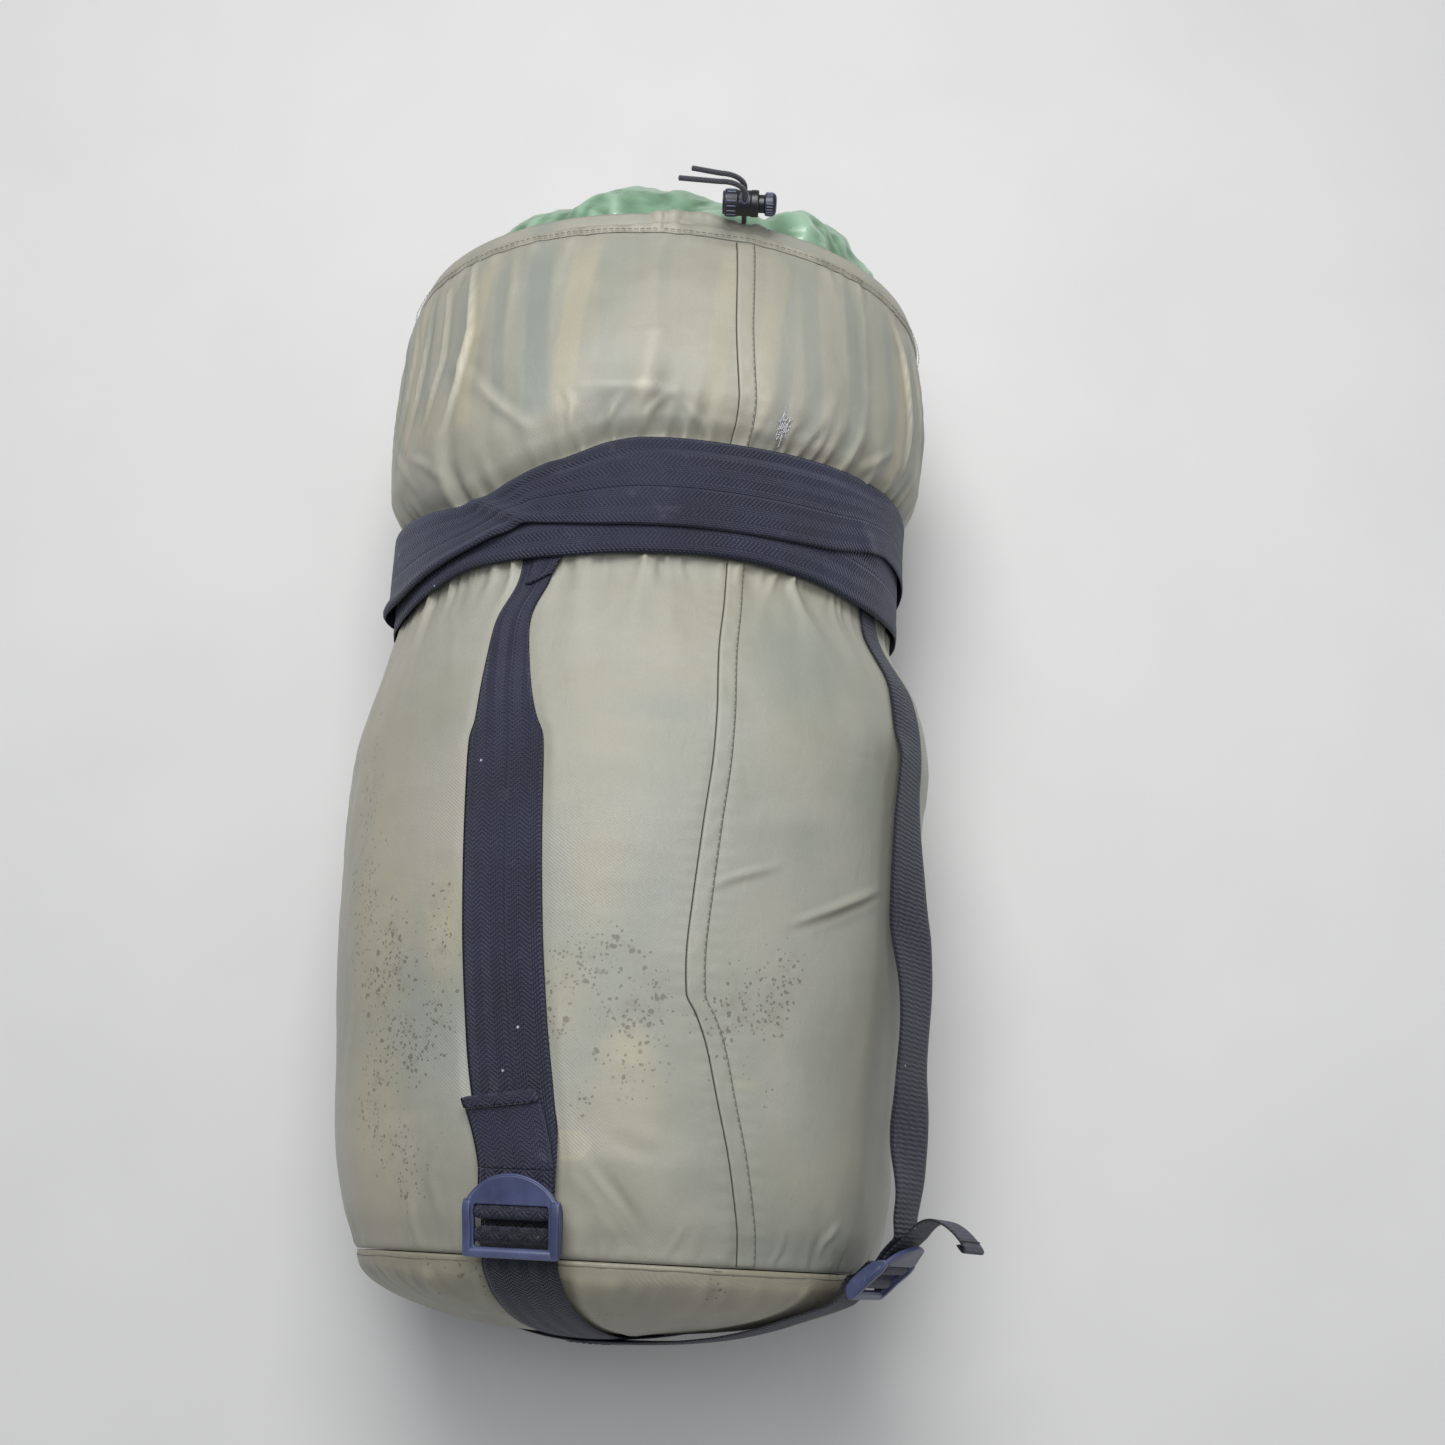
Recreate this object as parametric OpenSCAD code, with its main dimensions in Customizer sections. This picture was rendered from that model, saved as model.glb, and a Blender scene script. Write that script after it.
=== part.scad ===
// Compression stuff sack, packed and lying on its side.
// +Y runs from the base to the mouth, +Z is up, X is across. The origin is on the
// floor under the widest part of the sack. All sizes are millimetres.

/* [Sack] */
// Length of the fabric tube from the base seam to the mouth, at the sides
sack_len = 540; // [528:4:552]
// Full width of the belly, between the base and the compression ring
belly_w = 317; // [312:1:322]
// Full width of the waist under the compression ring
waist_w = 274; // [268:1:278]
// Full width of the bulge between the ring and the mouth
upper_w = 312; // [306:1:318]
// Full width of the open mouth
mouth_w = 294; // [288:1:298]
// Height over width of the mouth
mouth_squash = 0.71; // [0.68:0.01:0.76]
// Full width at the base seam
seam_w = 258; // [252:1:264]
// Height over width of the sack's cross-section as it lies
squash = 0.873; // [0.86:0.005:0.885]
// How far the underside is flattened by the floor
flat_depth = 6; // [4:0.5:8]
// Bulge of the base panel
dome_depth = 36; // [30:1:42]
// Thickness of the fabric skin
skin_t = 1.2; // [1:0.1:1.4]
// Lean of the mouth, how far the top lip stands forward per unit of height
mouth_lean = 0.18; // [0.1:0.02:0.2]
// How far the stuffing bulges out past the mouth
bulge_depth = 72; // [66:2:90]
// Parametric angle of the drawcord's exit round the mouth, degrees from the top
exit_angle = 17.5; // [14:0.5:22]
// Width of the felled side seam
seam_strip_w = 11; // [8:1:13]

/* [Compression harness] */
// Width of the compression strap webbing
web_w = 38; // [36:1:38]
// Thickness of the strap webbing
web_t = 1.5; // [1.2:0.1:1.6]
// Width of the ring webbing
ring_w = 50; // [46:1:50]
// Thickness of the ring webbing
ring_t = 1.8; // [1.4:0.1:2]
// Distance from the base seam to the lower edge of the ring's inner wrap
ring_s = 352; // [350:1:354]
// How far the outer wrap is laid up the sack from the inner wrap
wrap_step = 11; // [6:1:11]
// Angle of the front left strap, degrees from the top towards +X
ang_fl = -16; // [-26:1:-14]
// Angle of the front right strap
ang_fr = 67; // [60:1:72]
// Angle of the rear right strap, under the sack
ang_rr = 138; // [132:1:140]
// Angle of the rear left strap
ang_rl = 222; // [214:1:240]

/* [Ladder lock] */
// Clear width between the side rails
lock_gap = 39.2; // [39:0.1:40]
// Width of one side rail
rail_w = 4; // [3.5:0.25:4.5]
// Radius of the fixed bar that the base strap loops round
fixed_bar_r = 2.2; // [2:0.1:2.2]
// Radius of the adjuster bar that the compression strap wraps round
adjust_bar_r = 2.0; // [1.8:0.1:2]

/* [Drawcord] */
// Diameter of the drawcord
cord_d = 3; // [2.6:0.1:3]
// Diameter of the cord lock barrel
barrel_d = 14.6; // [14:0.2:16]
// Diameter of the push button's head
button_d = 12.4; // [11.6:0.2:12.6]
// Travel of the push button
button_travel = 2.8; // [2:0.2:2.8]

/* [Hidden] */

fabric_colour = [0.52, 0.53, 0.44];
stuffing_colour = [0.36, 0.52, 0.36];
webbing_colour = [0.10, 0.11, 0.16];
plastic_colour = [0.17, 0.19, 0.29];

// ---------------------------------------------------------------- sack shape
// "dist" is always the distance along the sack from the base seam towards the mouth,
// and "angle" is degrees round it from the top towards +X.
len_scale = sack_len / 540;                   // the stations are set out on a 540 sack
belly_dist = 218 * sack_len / 540;            // from the base seam to the origin
axis_z = squash * belly_w / 2 - flat_depth;   // height of the sack's axis
belly_half = belly_w / 2;
waist_half = waist_w / 2;
upper_half = upper_w / 2;
mouth_half = mouth_w / 2;
seam_half = seam_w / 2;
ring_end = ring_s + ring_w + wrap_step;       // mouth edge of the outer wrap

// Profile of the sack: [dist, half width]
profile = [
  [0, seam_half], [20 * len_scale, seam_half + 9.5],
  [50 * len_scale, belly_half - 13], [100 * len_scale, belly_half - 8.5],
  [154 * len_scale, belly_half - 2.5], [218 * len_scale, belly_half],
  [260 * len_scale, belly_half - 1], [289 * len_scale, belly_half - 6.5],
  [319 * len_scale, (belly_half + waist_half) / 2 - 3.3], [339 * len_scale, waist_half + 1.2],
  [ring_s - 4, waist_half], [ring_end + 1, waist_half],
  [ring_end + 12, waist_half + 10], [ring_end + 27, upper_half - 2],
  [472 * len_scale, upper_half], [500 * len_scale, upper_half - 0.5],
  [518 * len_scale, upper_half - 2.5], [sack_len - 14, upper_half - 4.5],
  [sack_len - 7, mouth_half + 3], [sack_len, mouth_half]];
stations = [for (row = profile) row[0]];

points_round = 36;
angles = [for (i = [0:points_round - 1]) 360 * i / points_round];

function half_width(dist) = lookup(dist, profile);
function ease(x) = let (part = max(0, min(1, x))) part * part * (3 - 2 * part);
// 0 up to 450 from the base seam, easing to 1 at the mouth
function near_mouth(dist) = ease((dist - 450) / (sack_len - 450));
function lean(dist) = mouth_lean * near_mouth(dist);
function half_height(dist) =
  half_width(dist) * (squash + (mouth_squash - squash) * near_mouth(dist));

// A point on the skin, off outwards from its outer face and kept above the floor
function skin_point(dist, angle, off) =
  let (z = max(axis_z + (half_height(dist) + off) * cos(angle), max(0, -off)))
  [(half_width(dist) + off) * sin(angle), dist - belly_dist + lean(dist) * (z - axis_z), z];
function skin_ring(dist, off) = [for (angle = angles) skin_point(dist, angle, off)];

// A ring on the base dome; rise is 0 degrees at the seam and 90 at the middle of the base
function dome_ring(rise, off) = [for (angle = angles) [
  (seam_half + off) * cos(rise) * sin(angle),
  -(dome_depth + off) * sin(rise) - belly_dist - 0.5,
  axis_z + (squash * seam_half + off) * cos(rise) * cos(angle)]];

// ---------------------------------------------------------------- working planes
// Plane coordinates hold the sack's axis at one angle: [dist, radius from the axis].

// Maps x to dist, y to the radius and z to the width, in the plane at angle
module in_plane(angle)
  multmatrix([
    [0, sin(angle), cos(angle), 0],
    [1, 0, 0, -belly_dist],
    [0, cos(angle), -sin(angle), axis_z],
    [0, 0, 0, 1]]) children();

function sack_radius(dist, angle) =
  let (wide = half_width(dist), high = squash * wide)
  1 / sqrt(pow(sin(angle) / wide, 2) + pow(cos(angle) / high, 2));
function over_skin(dist, angle, height) = [dist, sack_radius(dist, angle) + height];
function over_dome(rise, angle, height) =
  [-(dome_depth + height) * sin(rise), (sack_radius(0, angle) + height) * cos(rise)];

// ---------------------------------------------------------------- building helpers
function reversed(list) = [for (i = [len(list) - 1:-1:0]) list[i]];

// Skins a list of rings. closed joins the last ring to the first, otherwise both ends are capped.
module loft(rings, closed = false) {
  ring_count = len(rings);
  size = len(rings[0]);
  sides = [for (j = [0:(closed ? ring_count - 1 : ring_count - 2)]) for (i = [0:size - 1])
    let (here = j * size,
         next = ((j + 1) % ring_count) * size,
         beside = (i + 1) % size)
    each [[here + i, here + beside, next + beside], [here + i, next + beside, next + i]]];
  caps = closed ? [] : [
    [for (i = [size - 1:-1:0]) i],
    [for (i = [0:size - 1]) (ring_count - 1) * size + i]];
  polyhedron(points = [for (ring = rings) each ring], faces = concat(sides, caps), convexity = 6);
}

// A thin hoop round the sack, its section a hexagon; shift moves it along Y
module hoop(dist, off, thick_r, shift)
  loft([for (q = [0:5]) [for (angle = angles)
    skin_point(dist, angle, off + thick_r * cos(60 * q)) + [0, shift - thick_r * sin(60 * q), 0]]],
    closed = true);

// Outline of a strip of the given thickness, centred on a path
function unit(v) = v / max(norm(v), 1e-9);
function side_normal(path, i) =
  let (along = unit(path[min(i + 1, len(path) - 1)] - path[max(i - 1, 0)]))
  [-along[1], along[0]];
function ribbon(path, thick) =
  let (half = [for (i = [0:len(path) - 1]) side_normal(path, i) * thick / 2])
  concat([for (i = [0:len(path) - 1]) path[i] + half[i]],
    reversed([for (i = [0:len(path) - 1]) path[i] - half[i]]));

module extrude_centred(width) translate([0, 0, -width / 2]) linear_extrude(width) children();
module webbing(path, width = web_w) extrude_centred(width) polygon(ribbon(path, web_t));

// ---------------------------------------------------------------- sack
module sack_tube() {
  rows = [for (dist = stations) max(0.5, min(dist, sack_len - 4))];
  color(fabric_colour)
    loft(concat([for (dist = rows) skin_ring(dist, 0)],
      [for (dist = reversed(rows)) skin_ring(dist, -skin_t)]), closed = true);
}

// Course of the side seam: [dist, angle]
seam_line = [[0, 29], [60, 22], [100, 17.5], [150, 13.5], [200, 14],
  [295, 16.5], [350, 20.5], [420, 21], [480, 18], [540, 17.5]];

module side_seam() {
  half_angle = seam_strip_w / 2 / belly_half * 57.3;   // 57.3 degrees to a radian
  under = 0.6;                                         // strip's faces above the skin
  over = 1.5;
  section = [[-half_angle, under], [0, under], [half_angle, under],
    [half_angle, over], [0, over], [-half_angle, over]];
  between = [for (dist = stations) if (dist > 4 && dist < sack_len - 18) dist];
  color(fabric_colour)
    loft([for (dist = concat([5], between, [sack_len - 17]))
      [for (p = section) skin_point(dist, lookup(dist, seam_line) + p[0], p[1])]]);
}

module base_panel() color(fabric_colour)
  loft(concat([for (rise = [84:-14:0]) dome_ring(rise, 0)],
    [for (rise = [0:14:84]) dome_ring(rise, -skin_t)]));

module base_seam_welt() color(fabric_colour) hoop(dist = 0, off = 2, thick_r = 1.4, shift = 0);

// ---------------------------------------------------------------- drawcord and cord lock
// Section of the folded hem: [distance past the mouth, offset from the skin]
hem = [[-14, 1.2], [-7, 2], [4, 3.4], [9, 2], [10.5, -0.6], [9, -3.2],
  [4, -4.6], [-7, -3.2], [-14, -2.4], [-14, -1.6], [-7, -2.2], [3.5, -3.7],
  [8, -2.5], [9.3, -0.6], [8, 1.3], [3.5, 2.5], [-7, 1], [-14, 0.4]];
cord_past = 4;        // cord's distance past the mouth
cord_off = -0.6;      // and its offset from the skin
cord_lift = 92;       // turn of the two strands up from +Y
cord_gap = 1.65;      // half the spacing of the strands
cord_run = 31;        // straight run of the strands
cord_bend_r = 13;
lock_at = 16.5;       // from the exit to the lock's middle
exit_point = skin_point(sack_len, exit_angle, cord_off) + [0, cord_past, 0];

// y runs up along the cord, x across the sack and z towards the base
module at_exit(along = 0)
  translate(exit_point) rotate([cord_lift, 0, 0]) translate([0, along, 0]) children();

module drawcord_channel() color(fabric_colour) difference() {
  loft([for (p = reversed(hem)) [for (angle = angles)
    skin_point(sack_len + min(p[0], 0), angle, p[1]) + [0, max(p[0], 0), 0]]], closed = true);
  at_exit(12) cube([cord_d + 1.4, 26, 2 * cord_d + 2], center = true);
}

module drawcord() {
  root = 0.5;   // start of the strands below the exit point
  color(webbing_colour) {
    hoop(dist = sack_len, off = cord_off, thick_r = 1.3, shift = cord_past);
    at_exit() for (side = [-1, 1]) translate([0, -root, side * cord_gap]) {
      rotate([-90, 0, 0]) cylinder(d = cord_d, h = cord_run + root, $fn = 24);
      translate([-cord_bend_r, cord_run + root, 0])
        rotate_extrude(angle = 125, $fn = 48)
          translate([cord_bend_r, 0]) circle(d = cord_d, $fn = 24);
    }
  }
}

// The lock's axis is x; its button stands out at the +x end
barrel_mouth = 8;      // x of the barrel's open end
barrel_len = 18.8;
bore_floor = -9.5;     // x of the bore's closed end

module along_x(start) translate([start, 0, 0]) rotate([0, 90, 0]) children();

// Slot for both strands, widened along x by slack
module cord_slot(length, slack)
  translate([-cord_d / 2 - 0.3, -length / 2, -cord_gap - cord_d / 2 - 0.35])
    cube([slack + cord_d + 0.6, length, 2 * cord_gap + cord_d + 0.7]);

module cord_lock_barrel() color(plastic_colour) at_exit(lock_at) difference() {
  union() {
    along_x(-12) cylinder(d = barrel_d - 2, h = 1.6, $fn = 48);
    along_x(barrel_mouth - barrel_len) cylinder(d = barrel_d, h = barrel_len, $fn = 48);
  }
  along_x(bore_floor) cylinder(r = 5.3, h = 20, $fn = 48);
  cord_slot(barrel_d + 4, 0);
}

module cord_lock_button() {
  head_x = barrel_mouth + button_travel;
  color(plastic_colour) at_exit(lock_at) difference() {
    union() {
      along_x(-3.8) cylinder(r = 5.05, h = 15, $fn = 48);
      along_x(head_x + 0.4) cylinder(d = button_d, h = 5.5, $fn = 48);
      along_x(head_x + 5.8) cylinder(d1 = button_d, d2 = button_d - 2.4, h = 1.2, $fn = 48);
    }
    cord_slot(14, button_travel + 0.2);
  }
}

module cord_lock_spring() {
  steps = 36;      // three turns of 12
  rise = 4.6;
  coil_r = 4.1;
  wire_r = 0.4;
  color("silver") at_exit(lock_at)
    loft([for (i = [0:steps]) [for (q = [0:5])
      let (out = coil_r + wire_r * cos(60 * q))
      [bore_floor + 0.5 + rise * i / steps + wire_r * sin(60 * q),
        out * sin(30 * i), out * cos(30 * i)]]]);
}

// ---------------------------------------------------------------- stuffing
module sleeping_bag_stuffing() {
  inset = -skin_t - 1.8;
  stretch = bulge_depth / 86;
  // The bulge past the mouth: [distance past the mouth, half width]
  bulge = [[-7, mouth_half - 7], [0, mouth_half - 7], [9, mouth_half - 6],
    [20 * stretch, mouth_half - 11], [36 * stretch, mouth_half - 22],
    [50 * stretch, mouth_half - 33], [65 * stretch, mouth_half - 49],
    [77 * stretch, mouth_half - 80], [86 * stretch, mouth_half - 127]];
  dome = [for (rise = [84:-18:12]) dome_ring(rise, inset)];
  body = [for (dist = stations) if (dist < sack_len - 16) skin_ring(max(dist, 0.5), inset)];
  // The crown grows rounder and its lean fades with distance past the mouth
  crown = [for (row = bulge) [for (angle = angles)
    let (z = axis_z + (mouth_squash - 0.03 + 0.0013 * row[0]) * row[1] * cos(angle))
    [row[1] * sin(angle),
      sack_len + row[0] - belly_dist + mouth_lean * (1 - row[0] / 100) * (z - axis_z),
      z]]];
  color(stuffing_colour) loft(concat(dome, body, crown));
}

// ---------------------------------------------------------------- compression ring
strap_gap = 0.9;                       // skin to the strap's inner face
strap_lie = strap_gap + web_t / 2;     // skin to the middle of the strap
ring_off = strap_gap + web_t + 2.0;    // skin to the inner wrap

function waist_oval(off) = [for (i = [0:71])
  [(waist_half + off) * sin(5 * i), -(squash * waist_half + off) * cos(5 * i)]];
module band(dist, off) color(webbing_colour)
  translate([0, dist - belly_dist, axis_z]) rotate([-90, 0, 0])
    linear_extrude(ring_w) difference() {
      polygon(waist_oval(off + ring_t));
      polygon(waist_oval(off));
    }
module ring_inner_wrap() band(ring_s, ring_off);
module ring_outer_wrap() band(ring_s + wrap_step, ring_off + ring_t + 0.5);

// ---------------------------------------------------------------- ladder locks
// Place of a lock: [angle, dist of the fixed bar, radius of the fixed bar, tilt].
// Three lie snug on the sack; the front right one is lifted off it.
function snug_place(angle) = [angle, 9.5, sack_radius(9.5, angle) + 11.5, 12];
front_left = snug_place(ang_fl);
front_right = [ang_fr, -2, sack_radius(0, ang_fr) + 21.5, 49];
rear_right = snug_place(ang_rr);
rear_left = snug_place(ang_rl);

function fixed_bar(place) = [place[1], place[2]];

// Lock coordinates start at the fixed bar: x towards the mouth, y outwards, before the tilt
module at_lock(place)
  in_plane(place[0]) translate([place[1], place[2], 0]) rotate([0, 0, place[3]]) children();
function lock_to_plane(place, p) = fixed_bar(place) + [
  p[0] * cos(place[3]) - p[1] * sin(place[3]),
  p[0] * sin(place[3]) + p[1] * cos(place[3])];

adjuster_bar = [10.5, 0.6];
// Side view of a rail, in lock [x, y]
rail = [[-10.2, 1.2], [-8, -1.6], [-3, -2.8], [3, -2.8], [8, -2.6], [14, -1.4], [18, 0],
  [21, 0.6], [21, 3.2], [14, 4.2], [4, 4.2], [-6, 4.6], [-10.2, 4.4]];
// Section of the crossbar at the base end, in lock [x, y]
crossbar = [[-10, 1.8], [-9.4, 1.4], [-6.4, 1.4], [-6, 1.8],
  [-6, 4], [-6.4, 4.4], [-9.4, 4.4], [-10, 4]];

module ladder_lock(place) {
  half_w = lock_gap / 2 + rail_w;
  bar_len = 2 * half_w - 2;
  color(plastic_colour) at_lock(place) {
    for (side = [0, 1]) mirror([0, 0, side])
      translate([0, 0, lock_gap / 2]) linear_extrude(rail_w) polygon(rail);
    translate([0, 0, -bar_len / 2]) cylinder(r = fixed_bar_r, h = bar_len, $fn = 32);
    translate([adjuster_bar[0], adjuster_bar[1], -bar_len / 2])
      cylinder(r = adjust_bar_r, h = bar_len, $fn = 32);
    extrude_centred(bar_len) polygon(crossbar);
    // Round-ended tab at the mouth end
    translate([0, 3.0, 0]) rotate([90, 0, 0]) linear_extrude(2.2) intersection() {
      translate([1.6, 0]) circle(r = 26.4, $fn = 96);
      translate([15.5, -half_w + 0.5]) square([20, 2 * half_w - 1]);
    }
  }
}
module ladder_lock_front_left() ladder_lock(front_left);
module ladder_lock_front_right() ladder_lock(front_right);
module ladder_lock_rear_right() ladder_lock(rear_right);
module ladder_lock_rear_left() ladder_lock(rear_left);

// ---------------------------------------------------------------- compression straps
// The strap is gathered to half its width where it runs in under the ring
module strap_under_ring(angle)
  webbing([for (dist = [ring_s + 40, ring_s - 4, ring_s - 10]) over_skin(dist, angle, strap_lie)],
    width = web_w / 2);

module snug_strap(place) {
  between = [for (dist = stations) if (dist > 40 && dist < ring_s - 10) dist];
  color(webbing_colour) in_plane(place[0]) {
    webbing([for (dist = concat([35.5], between, [ring_s - 9]))
      over_skin(dist, place[0], strap_lie)]);
    strap_under_ring(place[0]);
  }
}
module strap_front_left() snug_strap(front_left);
module strap_rear_right() snug_strap(rear_right);
module strap_rear_left() snug_strap(rear_left);

// Where the front right strap lies on the sack, as dists on a 540 sack
lying_dists = [339, 319, 289, 260];
// Where it lifts towards its lock: [dist on a 540 sack, height of its middle over the skin]
lifting = [[218, 4.2], [180, 8], [140, 12.8], [100, 17], [60, 20], [38, 22.6], [25, 24]];

module strap_front_right() color(webbing_colour) in_plane(ang_fr) {
  webbing(concat(
    [over_skin(ring_s - 9, ang_fr, strap_lie)],
    [for (dist = lying_dists) over_skin(dist * len_scale, ang_fr, strap_lie)],
    [for (p = lifting) over_skin(p[0] * len_scale, ang_fr, p[1])]));
  strap_under_ring(ang_fr);
}

// The strap where it is threaded up between the bars, over the adjuster bar and
// out under the tab, in lock [x, y]
bight = [[24, -5.2], [18, -4.7], [14, -3.9], [11.5, -3], [9.5, -2.5], [8, -1.5],
  [7.3, 0.6], [8.25, 2.85], [10.5, 3.8], [12.75, 2.85], [13.7, 1], [14.1, -0.6],
  [15.2, -1.6], [17.5, -2], [22, -2.1], [25, -2.2], [28.2, -2.3]];
module strap_bight(place) color(webbing_colour) at_lock(place) webbing(bight);
module strap_bight_front_left() strap_bight(front_left);
module strap_bight_front_right() strap_bight(front_right);
module strap_bight_rear_right() strap_bight(rear_right);
module strap_bight_rear_left() strap_bight(rear_left);

// Free end of the strap, with its hem folded thick at the tip
tail_start = [30.6, -2.3];   // in lock [x, y]
tip_t = 3.1;
module tail(path, tip) extrude_centred(web_w) union() {
  polygon(ribbon(path, web_t));
  polygon(ribbon(tip, tip_t));
}

module snug_tail(place) {
  start = lock_to_plane(place, tail_start);
  // [dist, height of the tail's middle over the skin]
  lie = [[53, 5.6], [60, 5.4], [66, 5.4], [71, 5.4]];
  color(webbing_colour) in_plane(place[0])
    tail(path = concat([start, start + [4.5, 0.5]],
        [for (p = lie) over_skin(p[0], place[0], p[1])]),
      tip = [for (dist = [66.5, 71.2]) over_skin(dist, place[0], 6.2)]);
}
module strap_tail_front_left() snug_tail(front_left);
module strap_tail_rear_right() snug_tail(rear_right);
module strap_tail_rear_left() snug_tail(rear_left);

// This tail curls outwards, in lock [x, y]
module strap_tail_front_right() color(webbing_colour) at_lock(front_right)
  tail(path = [tail_start, [34, -3.2], [38.5, -3.4], [43, -1.8], [46, 1.6],
      [48, 6], [49, 11], [49, 16], [48.4, 21]],
    tip = [[48.9, 16], [48.2, 21.4]]);

// ---------------------------------------------------------------- base straps
// Heights over the dome of strap a, and of strap b where it crosses over it
low_lift = 2.8;
high_lift = 5.3;

// Start of an arm: sewn double for a stretch leaving the fixed bar, then down to the base.
// Each entry of steps is [dist, height over the radius at the base seam].
function legs(place, sewn_end, steps) =
  let (away = [cos(place[3] + 230), sin(place[3] + 230)],
       seam_r = sack_radius(0, place[0]))
  concat([fixed_bar(place) + 3.1 * away, fixed_bar(place) + sewn_end * away],
    [for (p = steps) [p[0], seam_r + p[1]]]);
function snug_legs(place) = legs(place, 8.8, [[0, 6.4], [-6, 4.4]]);
function lifted_legs(place) = legs(place, 7.5, [[-12, 9], [-16, 1]]);

// Base strap arm: looped round the fixed bar, sewn back on itself, and run to the middle
// of the base. Each entry of lie is [rise over the dome, height over it].
module arm(place, start, lie) {
  path = concat(start, [for (p = lie) over_dome(p[0], place[0], p[1])]);
  loop_r = fixed_bar_r + 0.15;
  in_plane(place[0]) extrude_centred(web_w) difference() {
    union() {
      translate(fixed_bar(place)) circle(r = loop_r + web_t, $fn = 48);
      polygon(ribbon(path, web_t));
      polygon(ribbon([path[0], path[1]], 2 * web_t));
    }
    translate(fixed_bar(place)) circle(r = loop_r, $fn = 48);
  }
}

// Joins the two arms of a strap at the middle of the base
module centre_disc(height)
  translate([0, -belly_dist - dome_depth - height, axis_z]) rotate([90, 0, 0])
    translate([0, 0, -web_t / 2]) cylinder(r = web_w / 2, h = web_t, $fn = 48);

module base_strap_a() {
  lie = [for (rise = [17, 27, 37, 47, 57, 67, 77, 90]) [rise, low_lift]];
  color(webbing_colour) {
    for (place = [front_left, rear_right]) arm(place, snug_legs(place), lie);
    centre_disc(low_lift);
  }
}

module base_strap_b() {
  crossing = concat([[47, 4.2]], [for (rise = [57, 67, 77, 90]) [rise, high_lift]]);
  color(webbing_colour) {
    arm(front_right, lifted_legs(front_right), concat([[29, low_lift], [38, 3]], crossing));
    arm(rear_left, snug_legs(rear_left),
      concat([[17, low_lift], [27, low_lift], [37, 3]], crossing));
    centre_disc(high_lift);
  }
}

sack_tube();
side_seam();
base_panel();
base_seam_welt();
drawcord_channel();
drawcord();
cord_lock_barrel();
cord_lock_button();
cord_lock_spring();
sleeping_bag_stuffing();
ring_inner_wrap();
ring_outer_wrap();
strap_front_left();
strap_front_right();
strap_rear_right();
strap_rear_left();
ladder_lock_front_left();
ladder_lock_front_right();
ladder_lock_rear_right();
ladder_lock_rear_left();
strap_bight_front_left();
strap_bight_front_right();
strap_bight_rear_right();
strap_bight_rear_left();
strap_tail_front_left();
strap_tail_front_right();
strap_tail_rear_right();
strap_tail_rear_left();
base_strap_a();
base_strap_b();
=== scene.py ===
"""A stuffed compression sack lying on the floor, with a sleeping bag bulging from its mouth.

The sack lies along Y, with its base towards -Y and its mouth towards +Y, on the floor at z = 0.
It has its own coordinates: `along` runs in mm from the base seam to the mouth, and `turn` is
the angle round the sack from the top towards +X. Lengths are in mm until a mesh is built.
"""
import math
from collections import namedtuple

import bpy
import numpy as np
from mathutils import Matrix, Vector


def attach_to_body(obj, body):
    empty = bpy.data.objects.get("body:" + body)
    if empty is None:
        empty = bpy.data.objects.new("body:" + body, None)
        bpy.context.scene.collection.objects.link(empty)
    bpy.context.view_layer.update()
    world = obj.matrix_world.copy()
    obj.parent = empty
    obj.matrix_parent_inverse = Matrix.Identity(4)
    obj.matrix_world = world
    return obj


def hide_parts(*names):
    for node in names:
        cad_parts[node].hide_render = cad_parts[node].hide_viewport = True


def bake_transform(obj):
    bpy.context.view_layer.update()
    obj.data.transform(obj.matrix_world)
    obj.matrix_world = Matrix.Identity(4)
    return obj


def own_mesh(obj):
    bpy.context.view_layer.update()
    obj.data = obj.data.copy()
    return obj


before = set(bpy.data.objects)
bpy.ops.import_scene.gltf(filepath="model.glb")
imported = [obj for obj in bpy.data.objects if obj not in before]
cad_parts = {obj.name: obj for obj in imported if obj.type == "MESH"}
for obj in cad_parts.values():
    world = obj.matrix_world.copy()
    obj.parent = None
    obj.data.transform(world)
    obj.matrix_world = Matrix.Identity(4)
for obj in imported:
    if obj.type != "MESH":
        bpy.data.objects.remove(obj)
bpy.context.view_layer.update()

PI = math.pi
scene = bpy.context.scene

# ------------------------------------------------------------------ driving sizes (mm)
LENGTH = 540.0        # base seam to mouth
BASE_Y = 218.0        # the base seam lies this far behind the origin, at -Y
FLATTEN = 0.873       # height over width of the body
MOUTH_FLATTEN = 0.71  # the same at the mouth
LEAN = 0.18           # lean of the mouth, along per unit of height
BELLY, WAIST, SEAM = 158.5, 137.0, 129.0  # half widths: fullest, under the ring, base seam
SUNK = 6.0            # how far the belly flattens on to the floor
DOME = 36.0           # how far the base panel bulges
AXIS_Z = FLATTEN * BELLY - SUNK
RING_START = 352.0    # where the compression ring begins
MEAN_RATIO = 0.94     # rough mean radius over half width


# ------------------------------------------------------------------ curves
def curve(points):
    """Smooth curve through (x, y) points, constant beyond the ends."""
    xs, ys = np.array(points, float).T
    step = np.diff(xs)
    rise = np.diff(ys) / step
    slope = np.zeros_like(ys)
    both = rise[:-1] * rise[1:]
    slope[1:-1] = np.where(both > 0, 2 * both / (rise[:-1] + rise[1:] + 1e-12), 0)
    slope[0], slope[-1] = rise[0], rise[-1]

    def value(x):
        x = np.asarray(x, float)
        i = np.clip(np.searchsorted(xs, x) - 1, 0, len(step) - 1)
        part = np.clip((x - xs[i]) / step[i], 0, 1)
        return ((2 * part**3 - 3 * part**2 + 1) * ys[i]
                + (part**3 - 2 * part**2 + part) * step[i] * slope[i]
                + (-2 * part**3 + 3 * part**2) * ys[i + 1]
                + (part**3 - part**2) * step[i] * slope[i + 1])
    return value


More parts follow.
